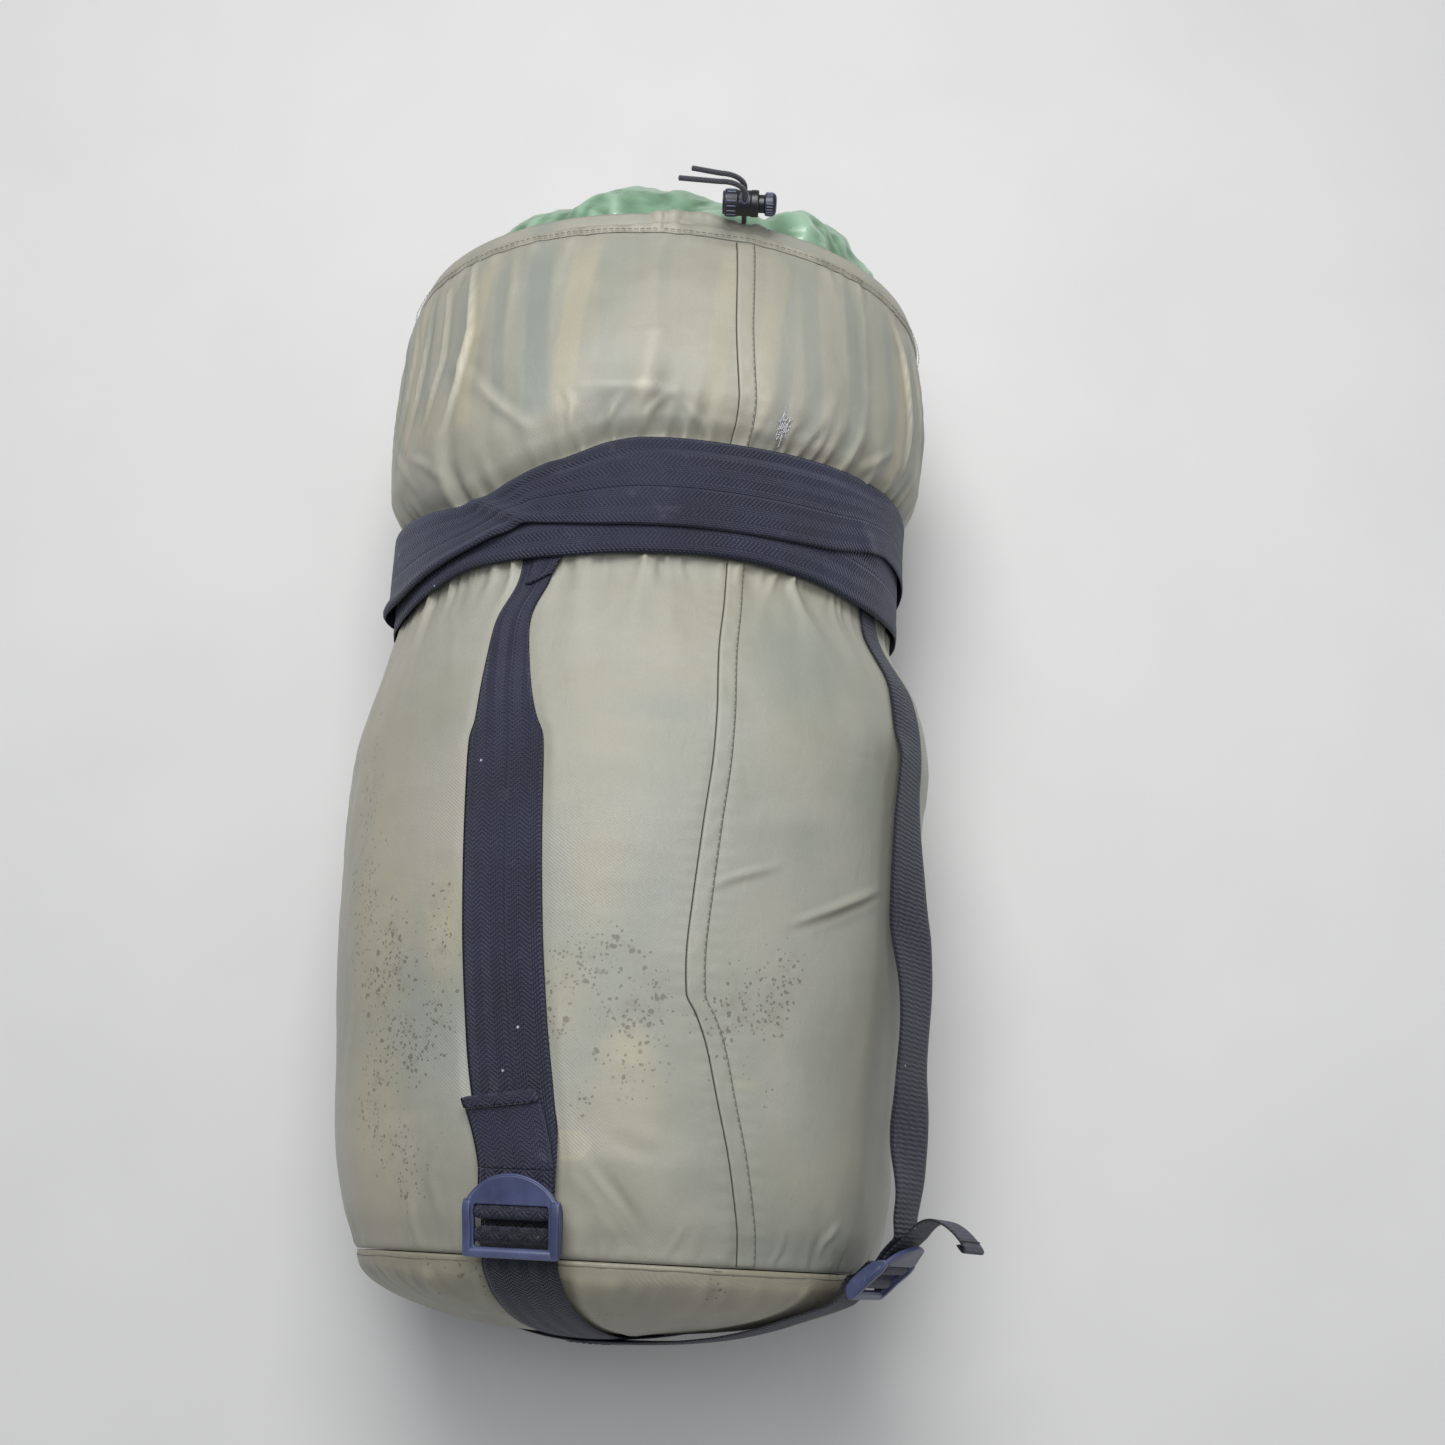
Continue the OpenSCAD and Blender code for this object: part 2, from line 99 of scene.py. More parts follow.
def around(points):
    """Curve over an angle in degrees that repeats every turn."""
    points = sorted(points)
    return curve([(x + shift, y) for shift in (-360, 0, 360) for x, y in points])


def ease(x):
    x = np.clip(x, 0, 1)
    return x * x * (3 - 2 * x)


def bell(x, centre, width):
    return np.exp(-((x - centre) / width) ** 2)


def turn_from(degrees, centre):
    """Angle from the centre, -180 to 180."""
    return (degrees - centre + 180) % 360 - 180


# ------------------------------------------------------------------ the sack's form
# (along, half width)
half_width = curve([
    (0, SEAM), (20, 138.5), (50, 145.5), (100, 150), (154, 156), (218, BELLY), (260, 157.5),
    (289, 152), (319, 144.4), (339, 138.2), (348, WAIST), (414, WAIST), (425, 147), (440, 154),
    (472, 156), (500, 155.5), (518, 153.5), (526, 151.5), (533, 150), (LENGTH, 147)])

# edges of the ring's two wraps: (turn, along)
inner_low = around([
    (-150, 351), (-110, 340), (-85, 331), (-75, 331), (-54, 339), (-37, 346), (-17, 346.5),
    (-4, 348), (20, 350), (37, 348.5), (57, 345), (83, 346), (120, 350), (165, 353)])
inner_high = around([
    (-150, 401), (-110, 388), (-85, 380), (-60, 382), (-37, 386), (-4, 399), (20, 404),
    (57, 402), (90, 398), (150, 402)])
outer_low = around([
    (-150, 362), (-110, 354), (-88, 343), (-70, 341), (-52, 348), (-41, 354), (-30, 361),
    (-24, 365.5), (-20, 364.5), (-8, 363), (12, 364), (26, 365), (42, 368), (56, 376),
    (66, 381), (85, 378), (120, 369), (165, 364)])
outer_high = around([
    (-150, 411), (-110, 401), (-85, 391), (-60, 388), (-50, 385), (-42, 383), (-34, 388),
    (-24, 397), (-15, 404), (-8, 410), (-1, 413), (22, 415), (40, 417), (60, 419), (85, 416),
    (120, 413), (165, 412)])


def mouth_share(along):
    """0 along the body, rising to 1 at the mouth."""
    return ease((np.asarray(along, float) - 450) / (LENGTH - 450))


def height_ratio(along):
    return FLATTEN + (MOUTH_FLATTEN - FLATTEN) * mouth_share(along)


def mean_radius(along):
    return 0.5 * (half_width(along) + half_width(along) * height_ratio(along))


def swell(along, x):
    """Extra fullness on the +X side, at the base corner and below the ring; x is -1..1."""
    along, x = np.asarray(along, float), np.clip(x, 0, 1)
    corner = 8.0 * ease((75 - along) / 75) * x**1.2
    below_ring = 9.0 * bell(along, 293, 44) * ease((336 - along) / 34) * ease((x - 0.3) / 0.6)
    return corner + below_ring


def skin(along, turn, off=0.0):
    """World point on the plain form; turn is in radians."""
    along, turn = np.broadcast_arrays(np.asarray(along, float), np.asarray(turn, float))
    # the fabric swells out again right above the ring, wherever its upper edge lies
    lag = np.clip(413.5 - outer_high(turn_from(np.degrees(turn), 0)), 0, 32)
    shifted = along + lag * ease((along - 370) / 14) * ease((505 - along) / 80)
    width = half_width(shifted) + off
    height = half_width(shifted) * height_ratio(along) + off
    z = AXIS_Z + height * np.cos(turn)
    z = 0.5 * (z + np.sqrt(z * z + 4.0))  # eases on to the floor
    y = along - BASE_Y + LEAN * mouth_share(along) * (z - AXIS_Z)
    return np.stack([width * np.sin(turn) + swell(along, np.sin(turn)), y, z], -1)


def radius_at(along, angle):
    """Distance from the axis to the body at a polar angle in degrees."""
    width = half_width(along)
    sine, cosine = np.sin(np.radians(angle)), np.cos(np.radians(angle))
    return 1 / np.sqrt((sine / width) ** 2 + (cosine / (FLATTEN * width)) ** 2)


def section(angle, along, radius, across=0.0):
    """World point in the plane through the axis at a polar angle, moved across that plane."""
    along, radius, across = np.broadcast_arrays(
        np.asarray(along, float), np.asarray(radius, float), np.asarray(across, float))
    cosine, sine = math.cos(math.radians(angle)), math.sin(math.radians(angle))
    return np.stack([radius * sine + across * cosine, along - BASE_Y,
                     AXIS_Z + radius * cosine - across * sine], -1)


def polar_to_turn(angle):
    angle = math.radians(angle)
    return math.degrees(math.atan2(math.sin(angle), math.cos(angle) / FLATTEN))


# ------------------------------------------------------------------ noise
HASH = np.array([374761393, 668265263, 1442695041])


def value_noise(points, seed):
    points = np.asarray(points, float)
    cell = np.floor(points).astype(np.int64)
    part = points - cell
    fade = part * part * part * (part * (part * 6 - 15) + 10)
    total = 0
    for corner in np.ndindex(2, 2, 2):
        code = ((cell + corner) * HASH).sum(-1) + seed * 9747117
        code = (code ^ (code >> 13)) & 0x7FFFFFFF
        code = (code * 1274126177) & 0x7FFFFFFF
        code = (code ^ (code >> 16)) & 0xFFFF
        total = total + (code / 32768.0 - 1.0) * np.where(corner, fade, 1 - fade).prod(-1)
    return total


def fbm(points, seed):
    """Two octaves of soft noise."""
    return (value_noise(points, seed) + 0.5 * value_noise(points * 2.03, seed + 17)) / 1.5


def ridged(points, seed):
    """Two octaves of noise with sharp ridges."""
    coarse = 1 - 2.2 * np.abs(value_noise(points, seed))
    fine = 1 - 2.2 * np.abs(value_noise(points * 1.97, seed + 31))
    return (coarse + 0.55 * fine) / 1.55


def line_noise(x, seed):
    return fbm(np.stack([x, 0 * x, 0 * x], -1), seed)


def round_noise(angle, scale, seed):
    """Noise that closes on itself after a turn; the angle is in radians."""
    return fbm(np.stack([np.cos(angle) * scale, np.sin(angle) * scale, 0 * angle], -1), seed)


# ------------------------------------------------------------------ meshes
def build(name, verts, faces, materials, vert_uv=None, loop_uv=None, attrs=None, smooth=True):
    """Makes an object from points in mm and a list of (n, 3) or (n, 4) face arrays."""
    mesh = bpy.data.meshes.new(name)
    verts = np.asarray(verts, float).reshape(-1, 3) * 0.001
    mesh.vertices.add(len(verts))
    mesh.vertices.foreach_set("co", verts.astype(np.float32).ravel())
    loops = np.concatenate([np.asarray(f, np.int32).ravel() for f in faces])
    sizes = np.concatenate([np.full(len(f), f.shape[1], np.int32) for f in faces])
    starts = np.concatenate([[0], np.cumsum(sizes)[:-1]]).astype(np.int32)
    mesh.loops.add(len(loops))
    mesh.loops.foreach_set("vertex_index", loops)
    mesh.polygons.add(len(sizes))
    mesh.polygons.foreach_set("loop_start", starts)
    mesh.polygons.foreach_set("loop_total", sizes)
    if smooth:
        mesh.polygons.foreach_set("use_smooth", np.ones(len(sizes), bool))
    mesh.update(calc_edges=True)
    if vert_uv is not None:
        loop_uv = np.asarray(vert_uv, float)[loops]
    if loop_uv is not None:
        layer = mesh.uv_layers.new(name="UVMap")
        layer.data.foreach_set("uv", np.asarray(loop_uv, np.float32).ravel())
    for key, values in (attrs or {}).items():
        attribute = mesh.attributes.new(key, "FLOAT", "POINT")
        attribute.data.foreach_set("value", np.asarray(values, np.float32).ravel())
    mesh.validate()
    for material in materials:
        mesh.materials.append(material)
    ob = bpy.data.objects.new(name, mesh)
    scene.collection.objects.link(ob)
    return ob


def attach(ob, slot, part=None, *replaced):
    """Gives an object its moving part and hides the CAD pieces it replaces; the slot is not
    used.
    """
    if part:
        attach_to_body(ob, part)
    if replaced:
        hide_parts(*replaced)


def grid_faces(rows, cols, wrap_cols=False, wrap_rows=False, flip=False):
    i, j = np.meshgrid(np.arange(rows if wrap_rows else rows - 1),
                       np.arange(cols if wrap_cols else cols - 1), indexing="ij")
    i_next, j_next = (i + 1) % rows, (j + 1) % cols
    quads = np.stack([i * cols + j, i * cols + j_next,
                      i_next * cols + j_next, i_next * cols + j], -1).reshape(-1, 4)
    return quads[:, ::-1] if flip else quads


def fan(ring, centre, flip=False):
    tris = np.stack([ring, np.roll(ring, -1), np.full(len(ring), centre)], -1)
    return tris[:, ::-1] if flip else tris


def cap_grid(points, caps, flip=False):
    """Closes a grid wrapped in its columns; caps are (row, centre point)."""
    rows, cols = points.shape[:2]
    verts = [points.reshape(-1, 3)]
    faces = [grid_faces(rows, cols, wrap_cols=True, flip=flip)]
    for k, (row, centre) in enumerate(caps):
        verts.append(np.reshape(centre, (1, 3)))
        ring = np.arange(cols) + row * cols
        faces.append(fan(ring, rows * cols + k, flip=(row == 0) != flip))
    return np.vstack(verts), faces


def close_cols(grid, step=0.0):
    """Repeats the first column at the end, one period on."""
    return np.concatenate([grid, grid[:, :1] + step], 1)


def build_capped(name, points, caps, material, attrs, uv=None, flip=False):
    """A capped grid as an object; uv is a pair of grids with one column more than the points."""
    verts, faces = cap_grid(points, caps, flip)
    loop_uv = None
    if uv is not None:
        rows, cols = points.shape[:2]
        i, j = np.meshgrid(np.arange(rows - 1), np.arange(cols), indexing="ij")
        corners = [(i, j), (i, j + 1), (i + 1, j + 1), (i + 1, j)]
        if flip:
            corners = corners[::-1]
        side = np.stack([np.stack([grid[c] for grid in uv], -1) for c in corners], 2)
        loop_uv = np.concatenate([side.reshape(-1, 2), np.zeros((2 * cols * 3, 2))])
    attrs = {key: np.concatenate([grid.ravel(), [0, 0]]) for key, grid in attrs.items()}
    return build(name, verts, faces, [material], loop_uv=loop_uv, attrs=attrs)


def merge_parts(parts):
    """Joins (verts, faces, uv or None) shells into one set of arrays."""
    all_verts, all_faces, all_uv, count = [], [], [], 0
    for verts, faces, uv in parts:
        verts = np.asarray(verts, float).reshape(-1, 3)
        all_faces += [np.asarray(f) + count for f in faces]
        all_verts.append(verts)
        all_uv.append(np.zeros((len(verts), 2)) if uv is None else uv)
        count += len(verts)
    return np.concatenate(all_verts), all_faces, np.concatenate(all_uv)


def build_parts(name, parts, *materials, attrs=None):
    verts, faces, uv = merge_parts(parts)
    return build(name, verts, faces, materials, vert_uv=uv, attrs=attrs)


def unit(vectors):
    return vectors / np.maximum(np.linalg.norm(vectors, axis=-1, keepdims=True), 1e-9)


def central(points, axis, wrap):
    """Differences between neighbours along an axis."""
    if wrap:
        return np.roll(points, -1, axis) - np.roll(points, 1, axis)
    return np.gradient(points, axis=axis)


def grid_normals(points, wrap_cols=False, wrap_rows=False):
    return unit(np.cross(central(points, 1, wrap_cols), central(points, 0, wrap_rows)))


def run_length(path):
    return np.concatenate([[0], np.cumsum(np.linalg.norm(np.diff(path, axis=0), axis=1))])


def interp_rows(x, stations, rows):
    return np.stack([np.interp(x, stations, col) for col in np.asarray(rows).T], -1)


def resample(path, step, closed=False):
    path = np.asarray(path, float)
    if closed:
        path = np.vstack([path, path[:1]])
    run = run_length(path)
    count = max(int(round(run[-1] / step)), 3)
    return interp_rows(np.linspace(0, run[-1], count + 1), run, path)


def smooth_path(path, passes, step):
    """Rounds a polyline by corner cutting, then resamples it evenly."""
    path = np.asarray(path, float)
    for _ in range(passes):
        early = 0.75 * path[:-1] + 0.25 * path[1:]
        late = 0.25 * path[:-1] + 0.75 * path[1:]
        cut = np.stack([early, late], 1).reshape(-1, path.shape[1])
        path = np.vstack([path[:1], cut[1:-1], path[-1:]])
    return resample(path, step)


def band(centre, widths, thick, wrap=False, edge=8.0):
    """Webbing with a rounded selvage round a (rows, cols, 3) centre surface."""
    rows, cols = centre.shape[:2]
    normals = grid_normals(centre, wrap_rows=wrap)
    x = np.linspace(-1, 1, cols)
    half = (np.sqrt(np.maximum(1 - np.abs(x) ** edge, 0)) * thick / 2)[None, :, None]
    top = centre + normals * half
    bottom = centre - normals * half
    ring = np.concatenate([top, bottom[:, cols - 2:0:-1]], 1)
    count = ring.shape[1]
    across = np.concatenate([x, x[cols - 2:0:-1]])
    widths = np.broadcast_to(np.asarray(widths, float), (rows,))
    run = np.broadcast_to(run_length(centre[:, cols // 2])[:, None], (rows, count))
    uv = np.stack([across[None] * widths[:, None] / 2, run], -1).reshape(-1, 2)
    faces = [grid_faces(rows, count, wrap_cols=True, wrap_rows=wrap)]
    if not wrap:
        j = np.arange(1, cols - 2)
        quads = np.stack([j, j + 1, count - j - 1, count - j], -1)
        tris = np.array([[0, 1, count - 1], [cols - 1, cols, cols - 2]])
        first = (rows - 1) * count
        faces += [quads[:, ::-1], tris[:, ::-1], quads + first, tris + first]
    return ring.reshape(-1, 3), faces, uv


def tube(path, radius, sides=12, closed=False, up=(0, 0, 1)):
    """Round tube along a path, with low domed ends unless it is closed."""
    path = np.asarray(path, float)
    rows = len(path)
    tangents = unit(central(path, 0, closed))
    side = np.cross(tangents[0], np.asarray(up, float))
    if np.linalg.norm(side) < 1e-3:
        side = np.cross(tangents[0], (1, 0, 0))
    side = side / np.linalg.norm(side)
    sideways = np.zeros_like(path)
    for i in range(rows):
        side = side - tangents[i] * (side @ tangents[i])
        side = side / np.linalg.norm(side)
        sideways[i] = side
    upward = np.cross(tangents, sideways)
    angle = 2 * PI * np.arange(sides) / sides
    points = path[:, None] + radius * (np.cos(angle)[None, :, None] * sideways[:, None]
                                       + np.sin(angle)[None, :, None] * upward[:, None])
    run = run_length(path)
    uv = np.stack([np.broadcast_to(angle[None] / (2 * PI), (rows, sides)),
                   np.broadcast_to(run[:, None], (rows, sides))], -1).reshape(-1, 2)
    if closed:
        return points.reshape(-1, 3), [grid_faces(rows, sides, True, True)], uv
    tip = tangents * radius * 0.35
    verts, faces = cap_grid(points, [(0, path[0] - tip[0]), (rows - 1, path[-1] + tip[-1])])
    return verts, faces, np.vstack([uv, [0.5, 0], [0.5, run[-1]]])


def stitches(points, normals, length, gap, radius):
    """Short raised loops of thread along a dense polyline, as parts."""
    run = run_length(points)
    parts = []
    start = 0.5
    while start + length < run[-1]:
        stations = start + np.array([0, 0.18, 0.5, 0.82, 1.0]) * length
        outward = unit(interp_rows(stations, run, normals))
        height = np.array([-0.1, 0.2, 0.35, 0.2, -0.1])
        path = interp_rows(stations, run, points) + outward * height[:, None]
        parts.append(tube(path, radius, 6, up=tuple(outward[2])))
        start += length + gap
    return parts


def bilinear(grid, row, col):
    """Values between grid points; columns wrap round, rows stop at the ends."""
    row, col = np.broadcast_arrays(row, col)
    row0 = np.clip(row.astype(int), 0, len(grid) - 2)
    col0 = col.astype(int) % grid.shape[1]
    col1 = (col0 + 1) % grid.shape[1]
    row_part = (row - row0)[..., None]
    col_part = (col - np.floor(col))[..., None]
    return (grid[row0, col0] * (1 - row_part) * (1 - col_part)
            + grid[row0 + 1, col0] * row_part * (1 - col_part)
            + grid[row0, col1] * (1 - row_part) * col_part
            + grid[row0 + 1, col1] * row_part * col_part)


# ------------------------------------------------------------------ materials
def srgb(rgb, factor=1):
    """Linear colour from 0-255 values, each scaled by the factor."""
    def linear(value):
        value = min(255, int(value * factor)) / 255
        return value / 12.92 if value <= 0.04045 else ((value + 0.055) / 1.055) ** 2.4
    return tuple(linear(c) for c in rgb)


class Shader:
    """A material with a principled shader and short calls for the nodes that feed it."""

    def __init__(self, name):
        self.material = bpy.data.materials.new(name)
        self.material.use_nodes = True
        self.tree = self.material.node_tree
        self.tree.nodes.clear()
        output = self.node("OutputMaterial")
        self.principled = self.node("BsdfPrincipled")
        self.put(output.inputs["Surface"], self.principled.outputs[0])
        self.position = self.node("TexCoord").outputs["Object"]

    def put(self, socket, value):
        if isinstance(value, bpy.types.NodeSocket):
            self.tree.links.new(value, socket)
        elif socket.type == "RGBA" and len(value) == 3:
            socket.default_value = (*value, 1)
        else:
            socket.default_value = value

    def node(self, kind, inputs=None, **props):
        node = self.tree.nodes.new("ShaderNode" + kind)
        for key, value in props.items():
            setattr(node, key, value)
        for key, value in (inputs or {}).items():
            self.put(node.inputs[key], value)
        return node

    def math(self, operation, a, b=0.0, clamp=False):
        return self.node("Math", {0: a, 1: b}, operation=operation, use_clamp=clamp).outputs[0]

    def add(self, a, b):
        return self.math("ADD", a, b)

    def sub(self, a, b):
        return self.math("SUBTRACT", a, b)

    def mul(self, a, b, clamp=False):
        return self.math("MULTIPLY", a, b, clamp)

    def wave(self, x, pitch):
        return self.math("SINE", self.mul(x, 2 * PI / pitch))

    def mix(self, share, a, b, mode="MIX"):
        return self.node("Mix", {0: share, 6: a, 7: b}, data_type="RGBA",
                         blend_type=mode).outputs[2]

    def layer(self, color, mask, strength, rgb, clamp=False):
        """Lays an sRGB colour over another where the mask is high."""
        return self.mix(self.mul(mask, strength, clamp), color, srgb(rgb))

    def noise(self, scale, detail=3.0, rough=0.5, distort=0.0, at=None, output=0):
        inputs = {"Vector": at or self.position, "Scale": scale, "Detail": detail,
                  "Roughness": rough, "Distortion": distort}
        return self.node("TexNoise", inputs).outputs[output]

    def cells(self, position, scale):
        """Distance to the nearest cell point, then three random numbers of that cell."""
        cell = self.node("TexVoronoi", {"Vector": position, "Scale": scale, "Randomness": 1.0},
                         feature="F1")
        split = self.node("SeparateColor", {"Color": cell.outputs["Color"]})
        return (cell.outputs["Distance"], *split.outputs)

    def ramp(self, x, low, high, start=0.0, end=1.0):
        """Smooth step from start to end while x goes from low to high."""
        return self.node("MapRange", {0: x, 1: low, 2: high, 3: start, 4: end},
                         interpolation_type="SMOOTHSTEP").outputs[0]

    def attr(self, name):
        return self.node("Attribute", attribute_name=name).outputs["Fac"]

    def uv(self):
        split = self.node("SeparateXYZ", {0: self.node("TexCoord").outputs["UV"]})
        return split.outputs[0], split.outputs[1]

    def stretched(self, scale):
        return self.node("Mapping", {"Vector": self.position, "Scale": scale}).outputs[0]

    def bump(self, height, distance, strength, normal=None):
        inputs = {"Height": height, "Distance": distance, "Strength": strength}
        if normal is not None:
            inputs["Normal"] = normal
        return self.node("Bump", inputs).outputs[0]

    def final(self, **inputs):
        for key, value in inputs.items():
            self.put(self.principled.inputs[key.replace("_", " ")], value)
        return self.material


def fabric_material(name, tint=(1, 1, 1)):
    """Faded nylon: broad tones, painted masks, mildew spots and a plain weave."""
    mat = Shader(name)
    broad = mat.noise(scale=9.0, detail=4.0, rough=0.55, distort=0.4)
    medium = mat.noise(scale=34.0, detail=4.0, rough=0.6, distort=0.2)
    fine = mat.noise(scale=900.0, detail=2.0, rough=0.6)
    color = mat.mix(mat.ramp(broad, low=0.38, high=0.64),
                    srgb((144, 144, 132)), srgb((155, 154, 144)))
    color = mat.layer(color, mat.ramp(medium, low=0.45, high=0.75), 0.25, rgb=(164, 160, 146))
    # mask, strength, colour, clamp; the folds get painted shade, and the ridges are painted
    # paler, partly a painted highlight and partly wear
    for mask, strength, rgb, clamp in (
            ("sage", 0.75, (122, 132, 127), False), ("tan", 0.7, (174, 165, 139), False),
            ("cavity_shade", 0.7, (88, 86, 74), True), ("ridge", 0.5, (196, 192, 174), True)):
        color = mat.layer(color, mat.attr(mask), strength, rgb, clamp)

    # mildew: clusters of small round spots where the stain attribute is high
    jitter = mat.noise(scale=160.0, detail=2.0, output="Color")
    jitter = mat.node("VectorMath", {0: jitter, "Scale": 0.004}, operation="SCALE").outputs[0]
    wobbly = mat.node("VectorMath", {0: mat.position, 1: jitter}, operation="ADD").outputs[0]
    stain = mat.attr("stain")
    spots = 0.0
    # cell scale, spot size, share of the cells left empty
    for scale, size, empty in ((230.0, 0.28, 0.2), (470.0, 0.38, 0.1), (145.0, 0.20, 0.45)):
        distance, red, green, blue = mat.cells(wobbly, scale)
        keep = mat.math("GREATER_THAN", red, empty)
        # each spot shows once the stain is strong enough for it
        seen = mat.ramp(mat.sub(stain, mat.mul(green, 0.55)), low=0.0, high=0.10)
        edge = mat.mul(mat.add(blue, 0.35), size)
        spot = mat.ramp(mat.sub(edge, distance), low=0.0, high=0.10)
        spots = mat.math("MAXIMUM", mat.mul(spot, mat.mul(keep, seen)), spots)
    haze = mat.ramp(mat.noise(scale=120.0, detail=4.0, rough=0.7), low=0.45, high=0.8)
    color = mat.layer(color, haze, mat.mul(stain, 0.7), rgb=(112, 106, 92))
    color = mat.layer(color, spots, 0.58, rgb=(78, 72, 62))
    color = mat.layer(color, mat.attr("pale"), 0.8, rgb=(176, 172, 140), clamp=True)
    color = mat.layer(color, mat.ramp(fine, low=0.3, high=0.75), 0.08, rgb=(100, 99, 88))
    color = mat.mix(1.0, color, tint, "MULTIPLY")

    # weave in mm of cloth, with a diagonal twill in places
    u, v = mat.uv()
    weave = mat.mul(mat.wave(u, pitch=0.8), mat.wave(v, pitch=0.8))
    weave = mat.add(weave, mat.mul(fine, 0.8))
    twill = mat.wave(mat.add(mat.mul(u, 0.8), v), pitch=1.7)
    twill_share = mat.mul(mat.ramp(broad, low=0.4, high=0.65), 0.9)
    weave = mat.add(weave, mat.mul(twill, twill_share))
    crinkle = mat.noise(scale=90.0, detail=3.0, rough=0.55, distort=0.6,
                        at=mat.stretched((1, 0.45, 1)))
    normal = mat.bump(crinkle, distance=0.0009, strength=0.4)
    normal = mat.bump(weave, distance=0.00007, strength=0.6, normal=normal)
    return mat.final(Base_Color=color, Roughness=mat.add(mat.mul(medium, 0.16), 0.36),
                     Normal=normal, Sheen_Weight=0.12, Sheen_Roughness=0.4,
                     Sheen_Tint=(0.9, 0.9, 0.85), Specular_IOR_Level=0.55)


def webbing_material(name, pitch=2.2, rgb=(33, 34, 50), line=None, slope=0.85):
    """Herringbone webbing; line is the place across of a groove, slope tilts the ribs."""
    mat = Shader(name)
    u, v = mat.uv()
    zigzag = mat.math("PINGPONG", mat.add(u, 100.0), 4.75)
    phase = mat.add(v, mat.mul(zigzag, slope))
    wobble = mat.mul(mat.noise(scale=300.0, detail=2.0), 0.5)
    ribs = mat.wave(mat.add(phase, wobble), pitch)
    warp = mat.wave(u, pitch=1.15)
    height = mat.add(mat.mul(ribs, 0.6), mat.mul(warp, 0.25))
    height = mat.add(height, mat.mul(mat.noise(scale=1400.0, detail=2.0), 0.5))
    if line is not None:
        groove = mat.ramp(mat.math("ABSOLUTE", mat.sub(u, line)), low=0.9, high=0.2)
        height = mat.sub(height, mat.mul(groove, 1.8))
    broad = mat.noise(scale=22.0, detail=3.0, rough=0.6)
    color = mat.mix(mat.ramp(broad, low=0.35, high=0.7), srgb(rgb), srgb(rgb, 1.32))
    shade = mat.ramp(ribs, low=-0.9, high=0.3, start=0.5, end=0.0)
    color = mat.mix(shade, color, srgb(rgb, 0.5))
    fuzz = mat.ramp(mat.noise(scale=620.0, detail=3.0, rough=0.7), low=0.60, high=0.80)
    color = mat.layer(color, fuzz, 0.35, rgb=(98, 102, 124))
    distance, red, _, _ = mat.cells(mat.position, 170.0)
    lint = mat.math("GREATER_THAN", red, 0.975)
    lint = mat.mul(mat.ramp(distance, low=0.15, high=0.06), lint)
    color = mat.layer(color, lint, 0.8, rgb=(205, 208, 216))
    dust = mat.ramp(mat.noise(scale=60.0, detail=4.0, rough=0.7), low=0.58, high=0.8)
    color = mat.layer(color, dust, 0.10, rgb=(150, 150, 160))
    return mat.final(Base_Color=color, Roughness=mat.add(mat.mul(fuzz, 0.2), 0.55),
                     Normal=mat.bump(height, distance=0.00045, strength=0.9),
                     Sheen_Weight=0.18, Sheen_Roughness=0.5, Sheen_Tint=(0.55, 0.6, 0.8),
                     Specular_IOR_Level=0.35)


def plastic_material(name, rgb, dark, rough=0.42):
    """Moulded plastic, scuffed, with a painted highlight on its sharp edges."""
    mat = Shader(name)
    color = mat.mix(mat.ramp(mat.noise(scale=45.0), low=0.35, high=0.7), srgb(dark), srgb(rgb))
    scratches = mat.noise(scale=1500.0, detail=3.0, rough=0.7,
                          at=mat.stretched((1.0, 0.08, 0.5)))
    scuff = mat.mul(mat.ramp(scratches, low=0.60, high=0.72),
                    mat.ramp(mat.noise(scale=90.0), low=0.42, high=0.62))
    # painted highlight: sharp edges, found by their pointiness, are painted paler
    edge = mat.ramp(mat.node("NewGeometry").outputs["Pointiness"], low=0.515, high=0.60)
    color = mat.layer(color, scuff, 0.35, rgb=(128, 136, 168))
    color = mat.layer(color, edge, 0.55, rgb=(134, 143, 178))
    normal = mat.bump(mat.noise(scale=2600.0, detail=2.0), distance=0.00004, strength=0.35)
    normal = mat.bump(scratches, distance=0.00003, strength=0.4, normal=normal)
    return mat.final(Base_Color=color, Roughness=mat.add(mat.mul(scuff, 0.18), rough),
                     Normal=normal, Specular_IOR_Level=0.5)


def nylon_material(name):
    """Shiny crinkled nylon of the sleeping bag."""
    mat = Shader(name)
    broad = mat.noise(scale=30.0, detail=4.0, rough=0.6, distort=0.8)
    color = mat.mix(mat.ramp(broad, low=0.35, high=0.68),
                    srgb((104, 136, 110)), srgb((124, 156, 130)))
    # painted highlight on the crinkles' ridges and painted shade in their hollows
    color = mat.layer(color, mat.attr("ridge"), 0.45, rgb=(164, 192, 172), clamp=True)
    color = mat.layer(color, mat.attr("cavity_shade"), 0.45, rgb=(46, 74, 52), clamp=True)
    crinkle = mat.noise(scale=70.0, detail=3.0, rough=0.5, distort=0.9)
    normal = mat.bump(crinkle, distance=0.0014, strength=0.35)
    normal = mat.bump(mat.noise(scale=1800.0, detail=1.0), distance=0.00004, strength=0.4,
                      normal=normal)
    return mat.final(Base_Color=color, Roughness=mat.add(mat.mul(broad, 0.15), 0.2),
                     Normal=normal, Sheen_Weight=0.4, Sheen_Roughness=0.3,
                     Sheen_Tint=(0.7, 1, 0.75), Specular_IOR_Level=0.6)


